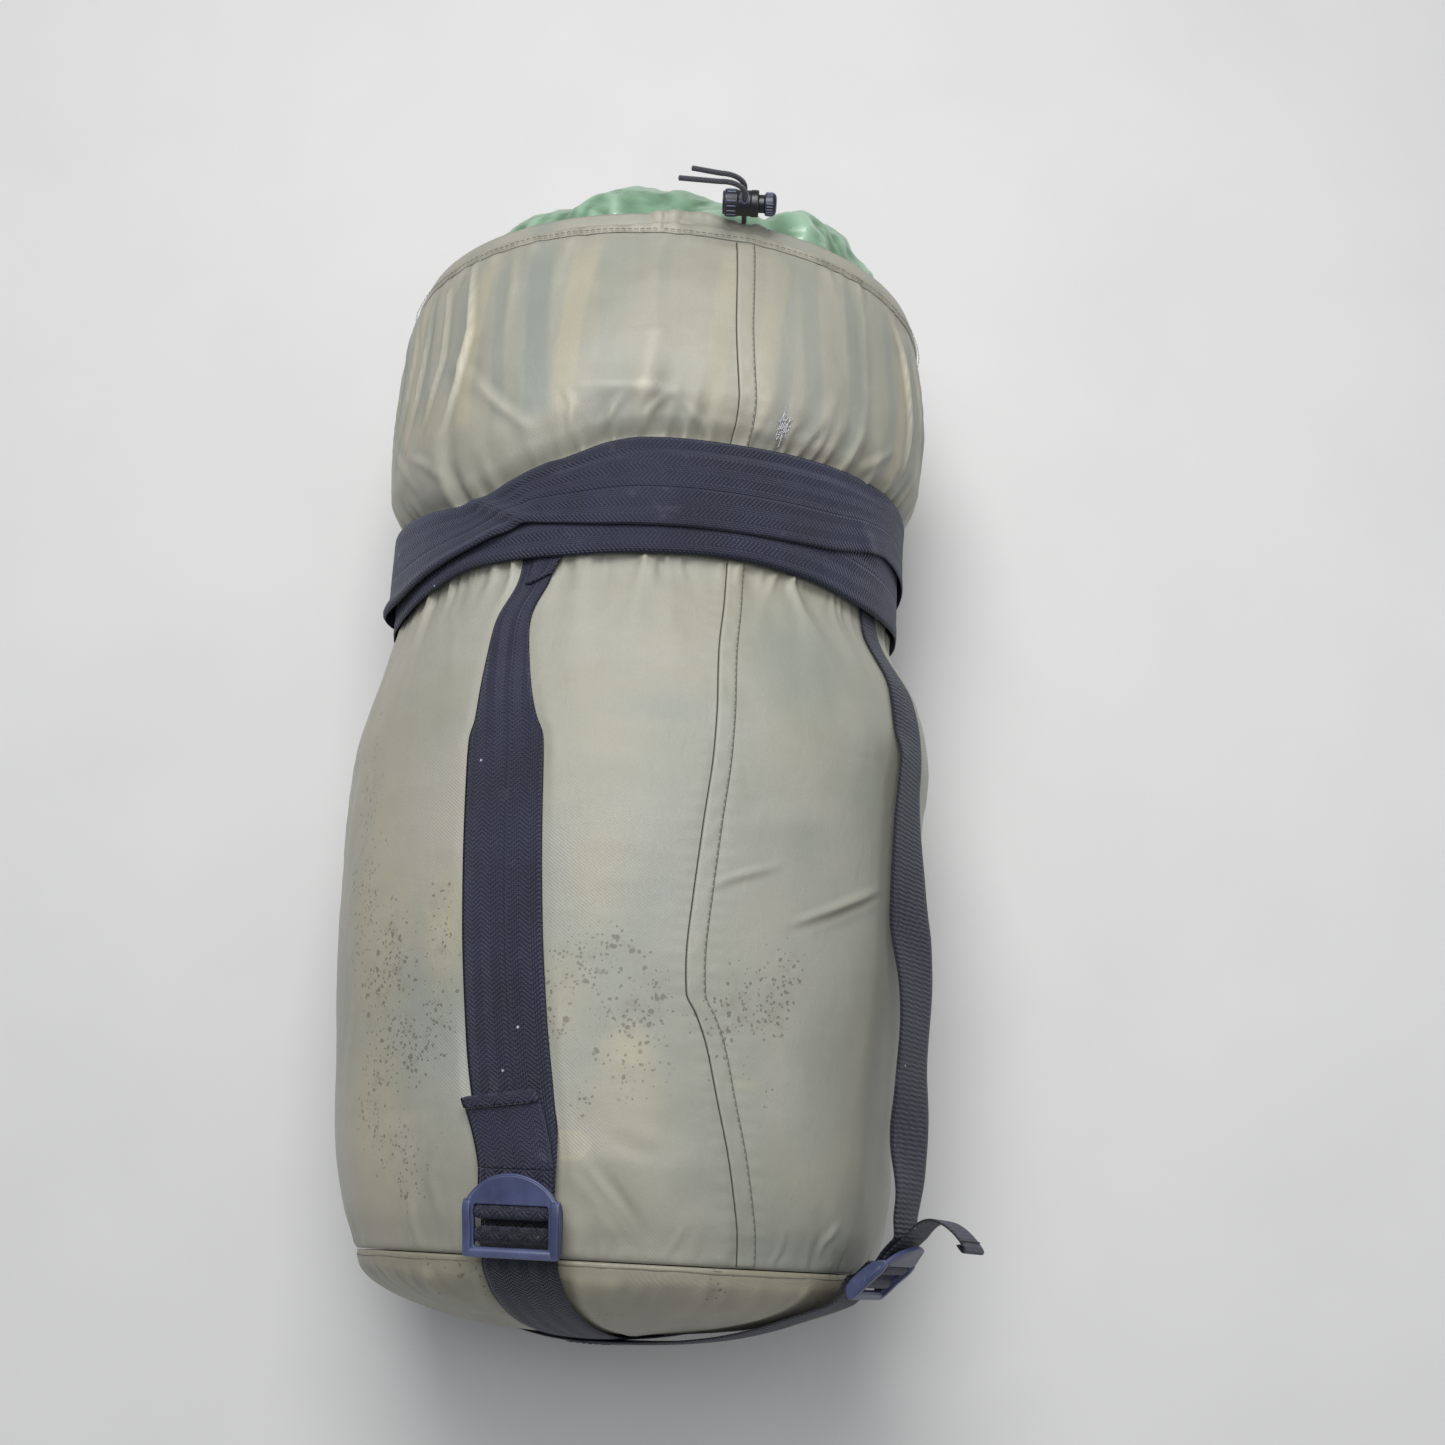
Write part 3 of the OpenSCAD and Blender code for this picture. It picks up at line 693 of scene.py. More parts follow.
def thread_material(name, rgb):
    """Twisted thread."""
    mat = Shader(name)
    u, v = mat.uv()
    twist = mat.math("SINE", mat.add(mat.mul(v, 2 * PI / 0.9), mat.mul(u, 2 * PI)))
    color = mat.mix(mat.ramp(twist, low=-0.8, high=0.6), srgb(rgb, 0.6), srgb(rgb))
    color = mat.mix(mat.mul(mat.noise(scale=200.0), 0.3), color, srgb(rgb, 0.5))
    return mat.final(Base_Color=color, Roughness=0.7, Sheen_Weight=0.2,
                     Normal=mat.bump(twist, distance=0.00012, strength=0.6))


def cord_material(name):
    """Braided cord: two crossing sets of six strands."""
    mat = Shader(name)
    u, v = mat.uv()
    strands = [mat.math("SINE", mat.math(way, mat.mul(u, 2 * PI * 6), mat.mul(v, 2 * PI / 2.2)))
               for way in ("ADD", "SUBTRACT")]
    braid = mat.math("MAXIMUM", *strands)
    color = mat.mix(mat.ramp(braid, low=-0.2, high=0.9), srgb((16, 16, 20)), srgb((54, 56, 66)))
    fuzz = mat.ramp(mat.noise(scale=700.0), low=0.6, high=0.8)
    color = mat.layer(color, fuzz, 0.4, rgb=(110, 112, 122))
    return mat.final(Base_Color=color, Roughness=0.55, Sheen_Weight=0.3,
                     Normal=mat.bump(braid, distance=0.0003, strength=0.8))


def metal_material(name):
    mat = Shader(name)
    grain = mat.noise(scale=900.0)
    return mat.final(Base_Color=mat.mix(grain, srgb((150, 150, 150)), srgb((205, 205, 200))),
                     Roughness=mat.add(mat.mul(grain, 0.2), 0.25), Metallic=1.0,
                     Normal=mat.bump(grain, distance=0.00004, strength=0.4))


FABRIC = fabric_material("sack_nylon")
FABRIC_HEM = fabric_material("sack_nylon_hem", tint=(0.98, 0.98, 0.97))
# the base panel's nylon is tinted darker and browner: painted shade, as the base lies in shadow
FABRIC_BASE_SHADED = fabric_material("sack_nylon_base_shaded", tint=(0.90, 0.87, 0.79))
WEB = webbing_material("strap_webbing")
WEB_CREASED = webbing_material("strap_webbing_creased", line=2.5)
WEB_RING = webbing_material("ring_webbing", pitch=2.4, rgb=(33, 35, 51), line=-4.0)
WEB_BASE = webbing_material("base_webbing", rgb=(19, 19, 29))
WEB_RIBBED = webbing_material("strap_webbing_ribbed", pitch=2.4, rgb=(15, 13, 24), slope=0.12)
LOCK_PLASTIC = plastic_material("lock_plastic_slate", rgb=(66, 74, 108), dark=(50, 56, 86))
BLACK = plastic_material("cord_lock_black", rgb=(30, 31, 38), dark=(18, 18, 22), rough=0.36)
BAG_NYLON = nylon_material("sleeping_bag_nylon")
THREAD = thread_material("seam_thread", (128, 125, 106))
THREAD_DARK = thread_material("seam_thread_dark", (66, 64, 52))
THREAD_BLACK = thread_material("webbing_thread", (30, 30, 38))
CORD = cord_material("drawcord_braid")
STEEL = metal_material("spring_wire")

# ------------------------------------------------------------------ locks and strap runs
# polar angle, centre of the fixed bar (along, radius), tilt of the lock in degrees
Lock = namedtuple("Lock", "angle along radius tilt")
LOCKS = {
    "front_left": Lock(-16.0, 9.5, radius_at(9.5, -16) + 11.5, 12.0),
    "front_right": Lock(67.0, -2.0, radius_at(0, 67) + 21.5, 49.0),
    "rear_left": Lock(222.0, 9.5, radius_at(9.5, 222) + 11.5, 12.0),
    "rear_right": Lock(138.0, 9.5, radius_at(9.5, 138) + 11.5, 12.0),
}
LOCK_TURN = {key: polar_to_turn(lock.angle) for key, lock in LOCKS.items()}


def drift(key, points):
    """Turn of a strap from (along, turn past its lock)."""
    return curve([(x, LOCK_TURN[key] + extra) for x, extra in points])


# the front right strap runs straight, so it has no table here
STRAP_TURN = {
    "front_left": curve([
        (0, LOCK_TURN["front_left"]), (44, LOCK_TURN["front_left"] - 0.4), (70, -16.4),
        (100, -18.3), (135, -19.6), (175, -20.7), (235, -22.0), (250, -22.4), (290, -24.6),
        (311, -25.4), (337, -22.8), (400, -21.5)]),
    "rear_right": drift("rear_right", [(0, 0), (60, 0), (160, -0.6), (260, 0.8), (400, 0)]),
    "rear_left": drift("rear_left", [(0, 0), (60, 0), (150, 0.7), (270, -0.8), (400, 0)]),
}
# (along, width)
STRAP_WIDTH = {
    "front_left": curve([
        (0, 38), (60, 39), (90, 40.5), (232, 40.5), (247, 39.5), (256, 33), (285, 25),
        (311, 20), (330, 18), (352, 19), (400, 19)]),
    "rear_right": curve([(0, 38), (285, 38), (325, 27), (352, 20), (400, 20)]),
    "rear_left": curve([(0, 38), (292, 38), (328, 26), (352, 20), (400, 20)]),
    "front_right": curve([(0, 38), (280, 38), (322, 28), (352, 20), (400, 20)]),
}
# side seam: (along, turn)
seam_turn = curve([
    (0, 32.0), (30, 28.4), (56, 25.8), (78, 23.2), (100, 20.6), (114, 18.2), (124, 16.0),
    (145, 15.4), (168, 15.8), (207, 16.8), (242, 18.0), (295, 18.8), (349, 21.3), (420, 20.4),
    (481, 18.0), (540, 17.5)])

# ------------------------------------------------------------------ cloth simulation
SIM_ROWS, SIM_COLS = 109, 180
SIM_ALONG = np.linspace(0, LENGTH, SIM_ROWS)
SIM_TURN = 2 * PI * np.arange(SIM_COLS) / SIM_COLS
FULLNESS = 1.012  # the cloth is cut this much larger than it is held
SIM_FRAMES = 22
CLOTH = dict(quality=5, mass=0.25, tension_stiffness=18, compression_stiffness=9,
             shear_stiffness=4, bending_stiffness=0.12, air_damping=2.0,
             vertex_group_mass="pin", use_pressure=True, uniform_pressure_force=3.0)


def simulate():
    """Inflates a shell pinned at the base seam, under the ring and at the mouth."""
    held = skin(SIM_ALONG[:, None], SIM_TURN[None, :])
    cut_width = curve([(0, 137), (60, 150), (150, 158), (300, 160), (420, 160), (500, 158),
                       (540, 156)])
    steps = np.hypot(np.diff(SIM_ALONG), np.diff(half_width(SIM_ALONG)))
    arc = np.concatenate([[0], np.cumsum(steps)]) * FULLNESS
    radius = cut_width(SIM_ALONG) * (1 + FLATTEN) / 2 * FULLNESS
    rest = np.stack([radius[:, None] * np.sin(SIM_TURN), arc[:, None] + 0 * SIM_TURN,
                     radius[:, None] * np.cos(SIM_TURN)], -1)
    normals = grid_normals(held, wrap_cols=True)
    start = held - normals * 1.5
    # fine waves near the held edges set the folds off
    edge = (np.exp(-np.abs(SIM_ALONG - 349) / 26) + np.exp(-np.abs(SIM_ALONG - 415) / 22)
            + 0.6 * np.exp(-SIM_ALONG / 18) + 0.7 * np.exp(-np.abs(SIM_ALONG - 536) / 22))
    rng = np.random.default_rng(5)
    waves = np.zeros((SIM_ROWS, SIM_COLS))
    for count in range(22, 60, 3):
        phase = rng.uniform(0, 2 * PI)
        wave = np.sin(count * SIM_TURN[None, :] + phase + 0.0012 * count * SIM_ALONG[:, None])
        waves += wave * rng.uniform(0.3, 1)
    start = start + normals * (waves * 0.35 * edge[:, None])[..., None]
    top = outer_high(turn_from(np.degrees(SIM_TURN), 0))[None, :] + 2
    rows = SIM_ALONG[:, None]
    pin = (rows < 3) | ((rows > RING_START - 4) & (rows < top)) | (rows > 533)
    start[pin] = held[pin]

    ob = build("sim_sack", start, [grid_faces(SIM_ROWS, SIM_COLS, wrap_cols=True)], [FABRIC])
    ob.shape_key_add(name="Basis")
    rest_key = ob.shape_key_add(name="rest")
    rest_key.data.foreach_set("co", (rest * 0.001).astype(np.float32).ravel())
    rest_key.value = 0
    group = ob.vertex_groups.new(name="pin")
    group.add(np.flatnonzero(pin).tolist(), 1.0, "REPLACE")
    modifier = ob.modifiers.new("cloth", "CLOTH")
    for key, value in CLOTH.items():
        setattr(modifier.settings, key, value)
    modifier.settings.rest_shape_key = rest_key
    modifier.settings.effector_weights.gravity = 0
    modifier.collision_settings.use_collision = False
    modifier.point_cache.frame_start = 1
    modifier.point_cache.frame_end = 24
    for frame in range(1, SIM_FRAMES + 1):
        scene.frame_set(frame)
    evaluated = ob.evaluated_get(bpy.context.evaluated_depsgraph_get())
    result = evaluated.to_mesh()
    coords = np.empty(len(result.vertices) * 3, np.float32)
    result.vertices.foreach_get("co", coords)
    evaluated.to_mesh_clear()
    scene.frame_set(1)
    mesh = ob.data
    bpy.data.objects.remove(ob, do_unlink=True)
    bpy.data.meshes.remove(mesh)
    return coords.reshape(SIM_ROWS, SIM_COLS, 3) * 1000.0 - held


def blur(grid, row_sigma, col_sigma):
    """Gaussian blur in cells, wrapping in the columns."""
    def kernel(sigma):
        reach = int(3 * sigma) + 1
        weights = np.exp(-0.5 * (np.arange(-reach, reach + 1) / sigma) ** 2)
        return weights / weights.sum(), reach
    weights, reach = kernel(col_sigma)
    grid = sum(w * np.roll(grid, j - reach, 1) for j, w in enumerate(weights))
    weights, reach = kernel(row_sigma)
    padded = np.concatenate([np.repeat(grid[:1], reach, 0), grid,
                             np.repeat(grid[-1:], reach, 0)], 0)
    return sum(w * padded[j:j + len(grid)] for j, w in enumerate(weights))


def upsample(grid, row_factor, col_factor):
    """Catmull-Rom refinement, wrapping in the columns."""
    def between(p0, p1, p2, p3, x):
        return 0.5 * (2 * p1 + (p2 - p0) * x + (2 * p0 - 5 * p1 + 4 * p2 - p3) * x**2
                      + (3 * p1 - p0 - 3 * p2 + p3) * x**3)
    before, after, beyond = (np.roll(grid, shift, 1) for shift in (1, -1, -2))
    fine = np.stack([between(before, grid, after, beyond, q / col_factor)
                     for q in range(col_factor)], 2)
    fine = fine.reshape(grid.shape[0], grid.shape[1] * col_factor, *grid.shape[2:])
    padded = np.concatenate([fine[:1], fine, fine[-1:], fine[-1:]], 0)
    rows = len(fine)
    quads = [padded[k:rows + k] for k in range(4)]
    result = np.stack([between(*quads, q / row_factor) for q in range(row_factor)], 1)
    return result.reshape(rows * row_factor, *fine.shape[1:])[:(rows - 1) * row_factor + 1]


REFINE = 3
ROWS, COLS = (SIM_ROWS - 1) * REFINE + 1, SIM_COLS * REFINE
ALONG_LINE = np.linspace(0, LENGTH, ROWS)
TURN_LINE = 2 * PI * np.arange(COLS) / COLS
ALONG, TURN = np.meshgrid(ALONG_LINE, TURN_LINE, indexing="ij")
TURN_DEG = turn_from(np.degrees(TURN), 0)
RADIUS = mean_radius(ALONG)
form = skin(ALONG, TURN)
form_normals = grid_normals(form, wrap_cols=True)

shift = simulate()
# keep the folds, drop most of the broad swelling, limit the depth to 7 mm
shift = blur(shift - 0.9 * blur(shift, 7, 7), 0.75, 0.75)
depth = np.linalg.norm(shift, axis=-1, keepdims=True)
shift = upsample(shift * np.minimum(1, 7.0 / np.maximum(depth, 1e-6)), REFINE, REFINE)


# ------------------------------------------------------------------ sculpted folds
def lateral(centre):
    """Signed distance round the sack from a turn (a number or one per point)."""
    return np.radians(turn_from(TURN_DEG, centre)) * RADIUS


def path_distance(path):
    """Distance to a polyline of (along, turn), and the position 0..1 along it."""
    nearest = np.full(ALONG.shape, 1e9)
    position = np.zeros(ALONG.shape)
    first = path[0][1]
    x, y = lateral(first), ALONG
    flat = [((turn - first) * PI / 180 * float(half_width(along)) * MEAN_RATIO, along)
            for along, turn in path]
    total = sum(math.dist(a, b) for a, b in zip(flat, flat[1:]))
    done = 0.0
    for (x0, y0), (x1, y1) in zip(flat, flat[1:]):
        dx, dy = x1 - x0, y1 - y0
        square = dx * dx + dy * dy
        part = np.clip(((x - x0) * dx + (y - y0) * dy) / square, 0, 1)
        distance = np.hypot(x - x0 - part * dx, y - y0 - part * dy)
        closer = distance < nearest
        nearest = np.where(closer, distance, nearest)
        position = np.where(closer, (done + part * math.sqrt(square)) / total, position)
        done += math.sqrt(square)
    return nearest, position


def crease(path, width, height):
    """A soft ridge along a line, tapering at both ends, in a shallow valley."""
    distance, position = path_distance(path)
    taper = np.sin(PI * np.clip(position, 0.02, 0.98)) ** 0.6
    return height * taper * (bell(distance, 0, width) - 0.5 * bell(distance, 0, width * 1.9))


def gather(distance, across, height, length, width):
    """One gather fading away from its edge, with a valley beside it."""
    profile = bell(across, 0, width) - 0.45 * bell(across, width * 1.6, width * 1.5)
    return height * np.exp(-distance / length) * profile


def add_pleats(edge, sign, count, height, length, seed, width):
    """Small gathers that fan out from a sewn or cinched edge."""
    rng = np.random.default_rng(seed)
    edge = np.broadcast_to(np.asarray(edge, float), (COLS,))
    for _ in range(count):
        turn = rng.uniform(-180, 180)
        start = float(np.interp(turn % 360, np.arange(COLS) / COLS * 360, edge))
        reach = length * rng.uniform(0.35, 1.5)
        high = height * rng.uniform(0.35, 1.2)
        slant = rng.normal(0, 0.16)
        wide = width * rng.uniform(0.7, 1.5)
        away = sign * (ALONG_LINE - start)
        rows = np.where((away > -6) & (away < reach * 2.2))[0]
        near = slice(rows[0], rows[-1] + 1)
        distance = np.maximum(sign * (ALONG[near] - start), 0)
        across = np.radians(turn_from(TURN_DEG[near], turn)) * RADIUS[near] - slant * distance
        relief[near] += gather(distance, across, high, reach, wide + 0.09 * distance)


relief = np.zeros(ALONG.shape)
ring_low = inner_low(TURN_DEG[0]) - 1.0
ring_high = outer_high(TURN_DEG[0]) + 1.0
# gathers at the ring, the base seam and the hem:
# edge, side, count, height, length, seed, width
for pleats in (
        (ring_low, -1, 150, 1.5, 13, 1, 1.2), (ring_low, -1, 46, 1.9, 28, 2, 2.4),
        (ring_high, 1, 70, 1.5, 13, 3, 1.4), (ring_high, 1, 34, 2.2, 28, 4, 2.6),
        (2, 1, 90, 0.7, 10, 5, 1.3), (2, 1, 26, 1.2, 26, 6, 2.8),
        (527, -1, 40, 0.7, 12, 7, 1.6), (527, -1, 20, 1.2, 34, 8, 2.8)):
    add_pleats(*pleats)

LONG_FOLD_LEFT = [(527, -45), (505, -43), (480, -41.5), (455, -43), (424, -47)]
LONG_FOLD_RIGHT = [(524, 58), (500, 63), (460, 66), (430, 67)]
SEAM_PULL = [(158.5, 33), (171, 44), (186, 57)]
# width, height, path of (along, turn)
FOLDS = [
    # long standing folds down both sides of the upper part
    (2.0, 4.2, LONG_FOLD_LEFT),
    (6.5, 2.6, LONG_FOLD_LEFT),
    (1.9, 3.9, [(524, -53), (500, -51), (470, -50), (440, -54), (424, -58)]),
    (2.0, 4.2, [(522, -60), (490, -58), (455, -60), (424, -66)]),
    (2.0, 3.9, [(520, -67), (490, -65), (455, -67), (428, -72)]),
    (1.8, 2.0, [(516, -75), (480, -73), (440, -76)]),
    (2.2, 2.4, [(514, -84), (470, -82), (430, -86)]),
    (3.4, 1.3, [(524, -33), (500, -31), (470, -32)]),
    (2.0, 4.0, LONG_FOLD_RIGHT),
    (6.5, 2.2, LONG_FOLD_RIGHT),
    (1.9, 3.6, [(520, 70), (490, 73), (450, 75)]),
    (2.0, 2.0, [(516, 79), (480, 81), (440, 82)]),
    (3.4, 1.5, [(527, 45), (500, 47), (460, 48), (425, 49)]),
    (7.0, 0.7, [(527, 34), (500, 36), (460, 37)]),
    # the ledge over the ring and the drapes below it
    (5.0, 2.0, [(438, -17), (439, -9), (438, 1), (436, 8)]),
    (2.2, 1.8, [(437, -17), (428, -15), (416, -16)]),
    (2.2, 2.2, [(434, -5), (426, -7), (416, -10)]),
    (2.0, 2.0, [(436, 4), (425, 0), (416, -1)]),
    (2.2, 1.4, [(431, 7), (421, 12), (416, 14)]),
    (2.2, 1.6, [(433, 32), (424, 30), (417, 31)]),
    (1.8, 1.3, [(424, 38), (420, 36), (417, 36)]),
    (3.4, 2.2, [(448, -37), (432, -31), (416, -24)]),
    (3.0, 2.2, [(424, -62), (412, -54), (400, -47)]),
    (3.4, 2.0, [(440, -74), (420, -66), (400, -60)]),
    (5.0, 1.2, [(470, -47), (450, -38), (430, -31)]),
    (3.0, 1.8, [(440, 60), (428, 55), (420, 52)]),
    # lower body: diagonal pulls by the seam and near the locks
    (1.7, 1.5, [(175.5, 16.5), (183, 23), (190, 30)]),
    (1.9, 1.9, [(163, 34), (176, 45), (190, 57)]),
    (6.0, 1.4, [(160, 36), (174, 46), (186, 56)]),
    (1.9, -2.2, SEAM_PULL),
    (7.0, 0.8, [(205, 20), (214, 32), (216, 45)]),
    (2.6, 1.7, [(46, -3), (34, 1), (18, 7), (7, 10)]),
    (5.0, 1.4, [(40, -4), (26, 1), (10, 5)]),
    (1.4, 1.2, [(26, 2), (18, 5), (8, 8)]),
    (5.0, -1.1, [(56, 2), (50, 8), (48, 12)]),
    (4.0, 1.5, [(50, -31), (34, -34), (12, -32)]),
    (2.0, 1.3, [(34, -36), (22, -40), (8, -42)]),
    (5.0, 1.0, [(60, -34), (56, -42), (54, -50)]),
    (1.6, 1.1, [(17, 17), (10, 16), (4, 15)]),
    (1.8, 1.2, [(18, 38), (10, 39), (4, 38)]),
    (2.4, 1.5, [(24, 54), (14, 50), (5, 50)]),
    (7.0, 1.2, [(80, 62), (50, 60), (20, 62)]),
    (8.0, 0.8, [(300, -48), (260, -44), (220, -46)]),
    (4.0, 0.9, [(330, -46), (310, -40), (280, -37)]),
    (8.0, 1.4, [(300, -70), (240, -66), (180, -70)]),
    (7.0, 1.1, [(160, -62), (120, -58), (80, -64)]),
    (6.0, 0.8, [(330, 40), (300, 36), (268, 38)]),
    (9.0, 0.6, [(262, -12), (266, 0), (262, 12)]),
    (8.0, 0.6, [(228, -10), (232, 2), (226, 12)]),
    # lower sides and underside
    (7.0, 1.8, [(330, 110), (270, 118), (200, 112)]),
    (7.0, 1.8, [(300, -100), (230, -104), (150, -98)]),
    (3.0, 2.4, [(520, 110), (480, 112), (430, 108)]),
    (3.0, 2.4, [(518, -110), (480, -106), (430, -110)]),
    (4.0, 2.2, [(520, 140), (480, 138), (430, 142)]),
    (4.0, 2.2, [(520, -138), (480, -140), (430, -137)]),
    (5.0, 1.8, [(80, 100), (50, 96), (16, 99)]),
    (5.0, 1.8, [(80, -100), (50, -97), (16, -101)]),
]
for width, height, path in FOLDS:
    relief += crease(path, width, height)

# broad soft dents and small crinkles
metric = np.stack([np.cos(TURN) * 150, np.sin(TURN) * 150, ALONG], -1)
relief += 1.5 * fbm(metric / 75.0, 3)
relief += 0.30 * ridged(metric * np.array([0.6, 0.6, 1.0]) / 30.0, 9)
relief += 0.06 * fbm(metric / 5.0, 21)

# webbing presses the folds flat and sinks in a little
press = np.zeros(ALONG.shape)
below_ring = ALONG < RING_START + 20
for key, strap_turn in STRAP_TURN.items():
    reach = STRAP_WIDTH[key](ALONG) / 2 + 5 - np.abs(lateral(strap_turn(ALONG)))
    press = np.maximum(press, ease(reach / 6) * ease((ALONG - 22) / 14) * below_ring)
reach = 24 - np.abs(lateral(LOCK_TURN["front_right"]))
press = np.maximum(press, ease(reach / 6) * ease((ALONG - 220) / 30) * below_ring)
seam_across = lateral(seam_turn(ALONG))
near_seam = ease((8.5 - np.abs(seam_across)) / 5)
under_ring = ease((ALONG - (RING_START - 5)) / 5) * ease((ring_high[None, :] - ALONG) / 4)
off_ring = 1 - under_ring
near_hem = ease((ALONG - 522) / 8)
at_base = ease((4 - ALONG) / 4)
calm = np.maximum.reduce([press * 0.96, under_ring, near_hem * 0.9, at_base * 0.8,
                          near_seam * 0.55])
shift = shift * (1 - np.maximum.reduce([press * 0.97, under_ring, at_base]))[..., None]
relief = relief * (1 - calm) - 1.0 * press - 0.5 * at_base
# the fabric puckers beside the seam and dips at its two edges
pucker = np.sin(ALONG * 2 * PI / 7.3 + 1.4 * np.sin(ALONG / 13.0))
pucker = pucker * bell(np.abs(seam_across), 7, 5)
relief += 0.14 * pucker * off_ring
seam_dip = np.where(seam_across < 0, 0.18, 0.05)
relief -= seam_dip * bell(np.abs(seam_across), 5.0, 1.0) * off_ring

CLOTH_POINTS = form + shift + relief[..., None] * form_normals
z = CLOTH_POINTS[..., 2]
CLOTH_POINTS[..., 2] = np.where(z < 3, 0.35 + 2.65 * np.exp((z - 3) / 2.65), z)
CLOTH_NORMALS = grid_normals(CLOTH_POINTS, wrap_cols=True)


def on_sack(along, turn, off=0.0):
    """Point on the finished fabric; turn is in degrees."""
    along, turn, off = np.broadcast_arrays(
        np.asarray(along, float), np.asarray(turn, float), np.asarray(off, float))
    row = np.clip(along / LENGTH * (ROWS - 1), 0, ROWS - 1.001)
    col = (turn % 360) / 360 * COLS
    normals = unit(bilinear(CLOTH_NORMALS, row, col))
    return bilinear(CLOTH_POINTS, row, col) + normals * off[..., None]


def sack_line(along, turn, off):
    """Points over the fabric with their outward directions."""
    points = on_sack(along, turn, off)
    return points, on_sack(along, turn, off + 1.0) - points


def across_sack(along, turn, across, off):
    """Rows of points on the fabric, spread sideways by mm from a turn."""
    angles = np.reshape(turn, (-1, 1)) + np.degrees(across / mean_radius(along)[:, None])
    return on_sack(along[:, None], angles, off)


# ------------------------------------------------------------------ painted masks
def paint(mask, spots, strength=1.0, grow_along=1.0, grow_turn=1.0):
    """Adds soft spots: along, turn, radius along, radius round, strength."""
    for along, turn, reach_along, reach_turn, amount in spots:
        spot = np.exp(-((ALONG - along) / (grow_along * reach_along)) ** 2
                      - (lateral(turn) / (grow_turn * reach_turn)) ** 2)
        mask = np.maximum(mask, strength * amount * spot)
    return mask


def paint_stripes(mask, stripes, sway, period):
    """Adds swaying stripes to the upper part: turn, half width, strength."""
    for turn, width, amount in stripes:
        away = np.abs(lateral(turn + sway * np.sin(ALONG / period)))
        stripe = (ease((width - away) / (width * 0.45)) * ease((ALONG - 418) / 12)
                  * ease((535 - ALONG) / 30))
        mask = np.maximum(mask, amount * stripe)
    return mask


depth = relief + np.einsum("ijk,ijk->ij", shift, form_normals)
depth = blur(depth, 0.8, 0.8)
fine_depth = depth - blur(depth, 3.0, 3.0)
wide_depth = depth - blur(depth, 9.0, 9.0)
upper_share = 0.25 + 0.75 * ease((ALONG - 400) / 40)
# the fine ridges are painted paler, partly a painted highlight and partly wear; the folds, the
# two edges of the ring and the base seam get painted shade
ridge = np.clip((fine_depth - 0.12) / 0.9, 0, 1) ** 1.2 * upper_share
cavity_shade = np.maximum.reduce([
    np.clip((-fine_depth - 0.15) / 1.0, 0, 1) * 0.7 * upper_share
    + np.clip((-wide_depth - 0.5) / 3.0, 0, 1) * 0.25,
    0.6 * bell(ALONG, ring_high[None, :] + 2, 4),
    0.6 * bell(ALONG, ring_low[None, :] - 1, 3),
    0.35 * bell(ALONG, 0.5, 1.2)])
# painted shade lines in folds: path, width, strength
for path, width, amount in ((SEAM_PULL, 2.6, 0.95),
                            ([(173, 16.5), (180, 23), (187, 30)], 2.0, 0.5),
                            ([(39, 2), (28, 6), (14, 10)], 2.4, 0.5)):
    distance, position = path_distance(path)
    taper = np.sin(PI * np.clip(position, 0.03, 0.97)) ** 0.7
    cavity_shade = np.maximum(cavity_shade, amount * bell(distance, 0, width) * taper)

upper = ease((ALONG - 405) / 20)
streaks = fbm(np.stack([TURN_DEG / 9.0, ALONG / 300, 0 * ALONG], -1), 40)
sage = upper * np.clip(streaks * 1.3 - 0.1, 0, 1) * 0.6
tan = (upper * np.clip(-streaks * 1.1 - 0.05, 0, 1) * 0.35
       + 0.3 * np.clip(fbm(metric / 90.0, 60), 0, 1))
sage = np.maximum(sage, 0.7 * np.clip(fbm(metric / 110.0, 77) * 1.3, 0, 1) * (1 - upper))
sage = paint_stripes(sage, [
    (-24, 9, 0.85), (-33, 5, 0.55), (-8, 10, 0.35), (2, 4, 0.25), (33, 7, 0.6), (45, 8, 0.95),
    (57, 5, 0.6), (70, 5, 0.6), (-56, 4, 0.6), (-72, 5, 0.6)], sway=1.2, period=30.0)
tan = paint_stripes(tan, [
    (-16, 8, 0.6), (14, 7, 0.5), (24, 8, 0.4), (-40, 7, 0.7), (-63, 5, 0.8), (-80, 6, 0.7),
    (63, 5, 0.7), (78, 5, 0.6)], sway=1.0, period=26.0)
# the patch at along 175, turn -3 is a painted highlight, the lit middle of the lower body; the
# other patches are tone
tan = paint(tan, [
    (94, 4.5, 14, 13, 0.9), (240, -5, 40, 30, 0.25), (60, -52, 60, 25, 0.9),
    (160, -52, 90, 26, 0.8), (250, -62, 70, 20, 0.6), (470, 2, 30, 36, 0.2),
    (150, -32, 30, 12, 0.7), (120, -8, 30, 18, 0.45), (434, -50, 16, 30, 0.5),
    (175, -3, 36, 18, 0.5), (75, 5, 30, 18, 0.5)])
sage = paint(sage, [
    (300, 34, 34, 26, 0.75), (262, 6, 9, 26, 0.6), (232, -2, 7, 30, 0.4),
    (90, 44, 50, 22, 0.5), (250, 50, 60, 16, 0.5), (205, 34, 20, 20, 0.5)])
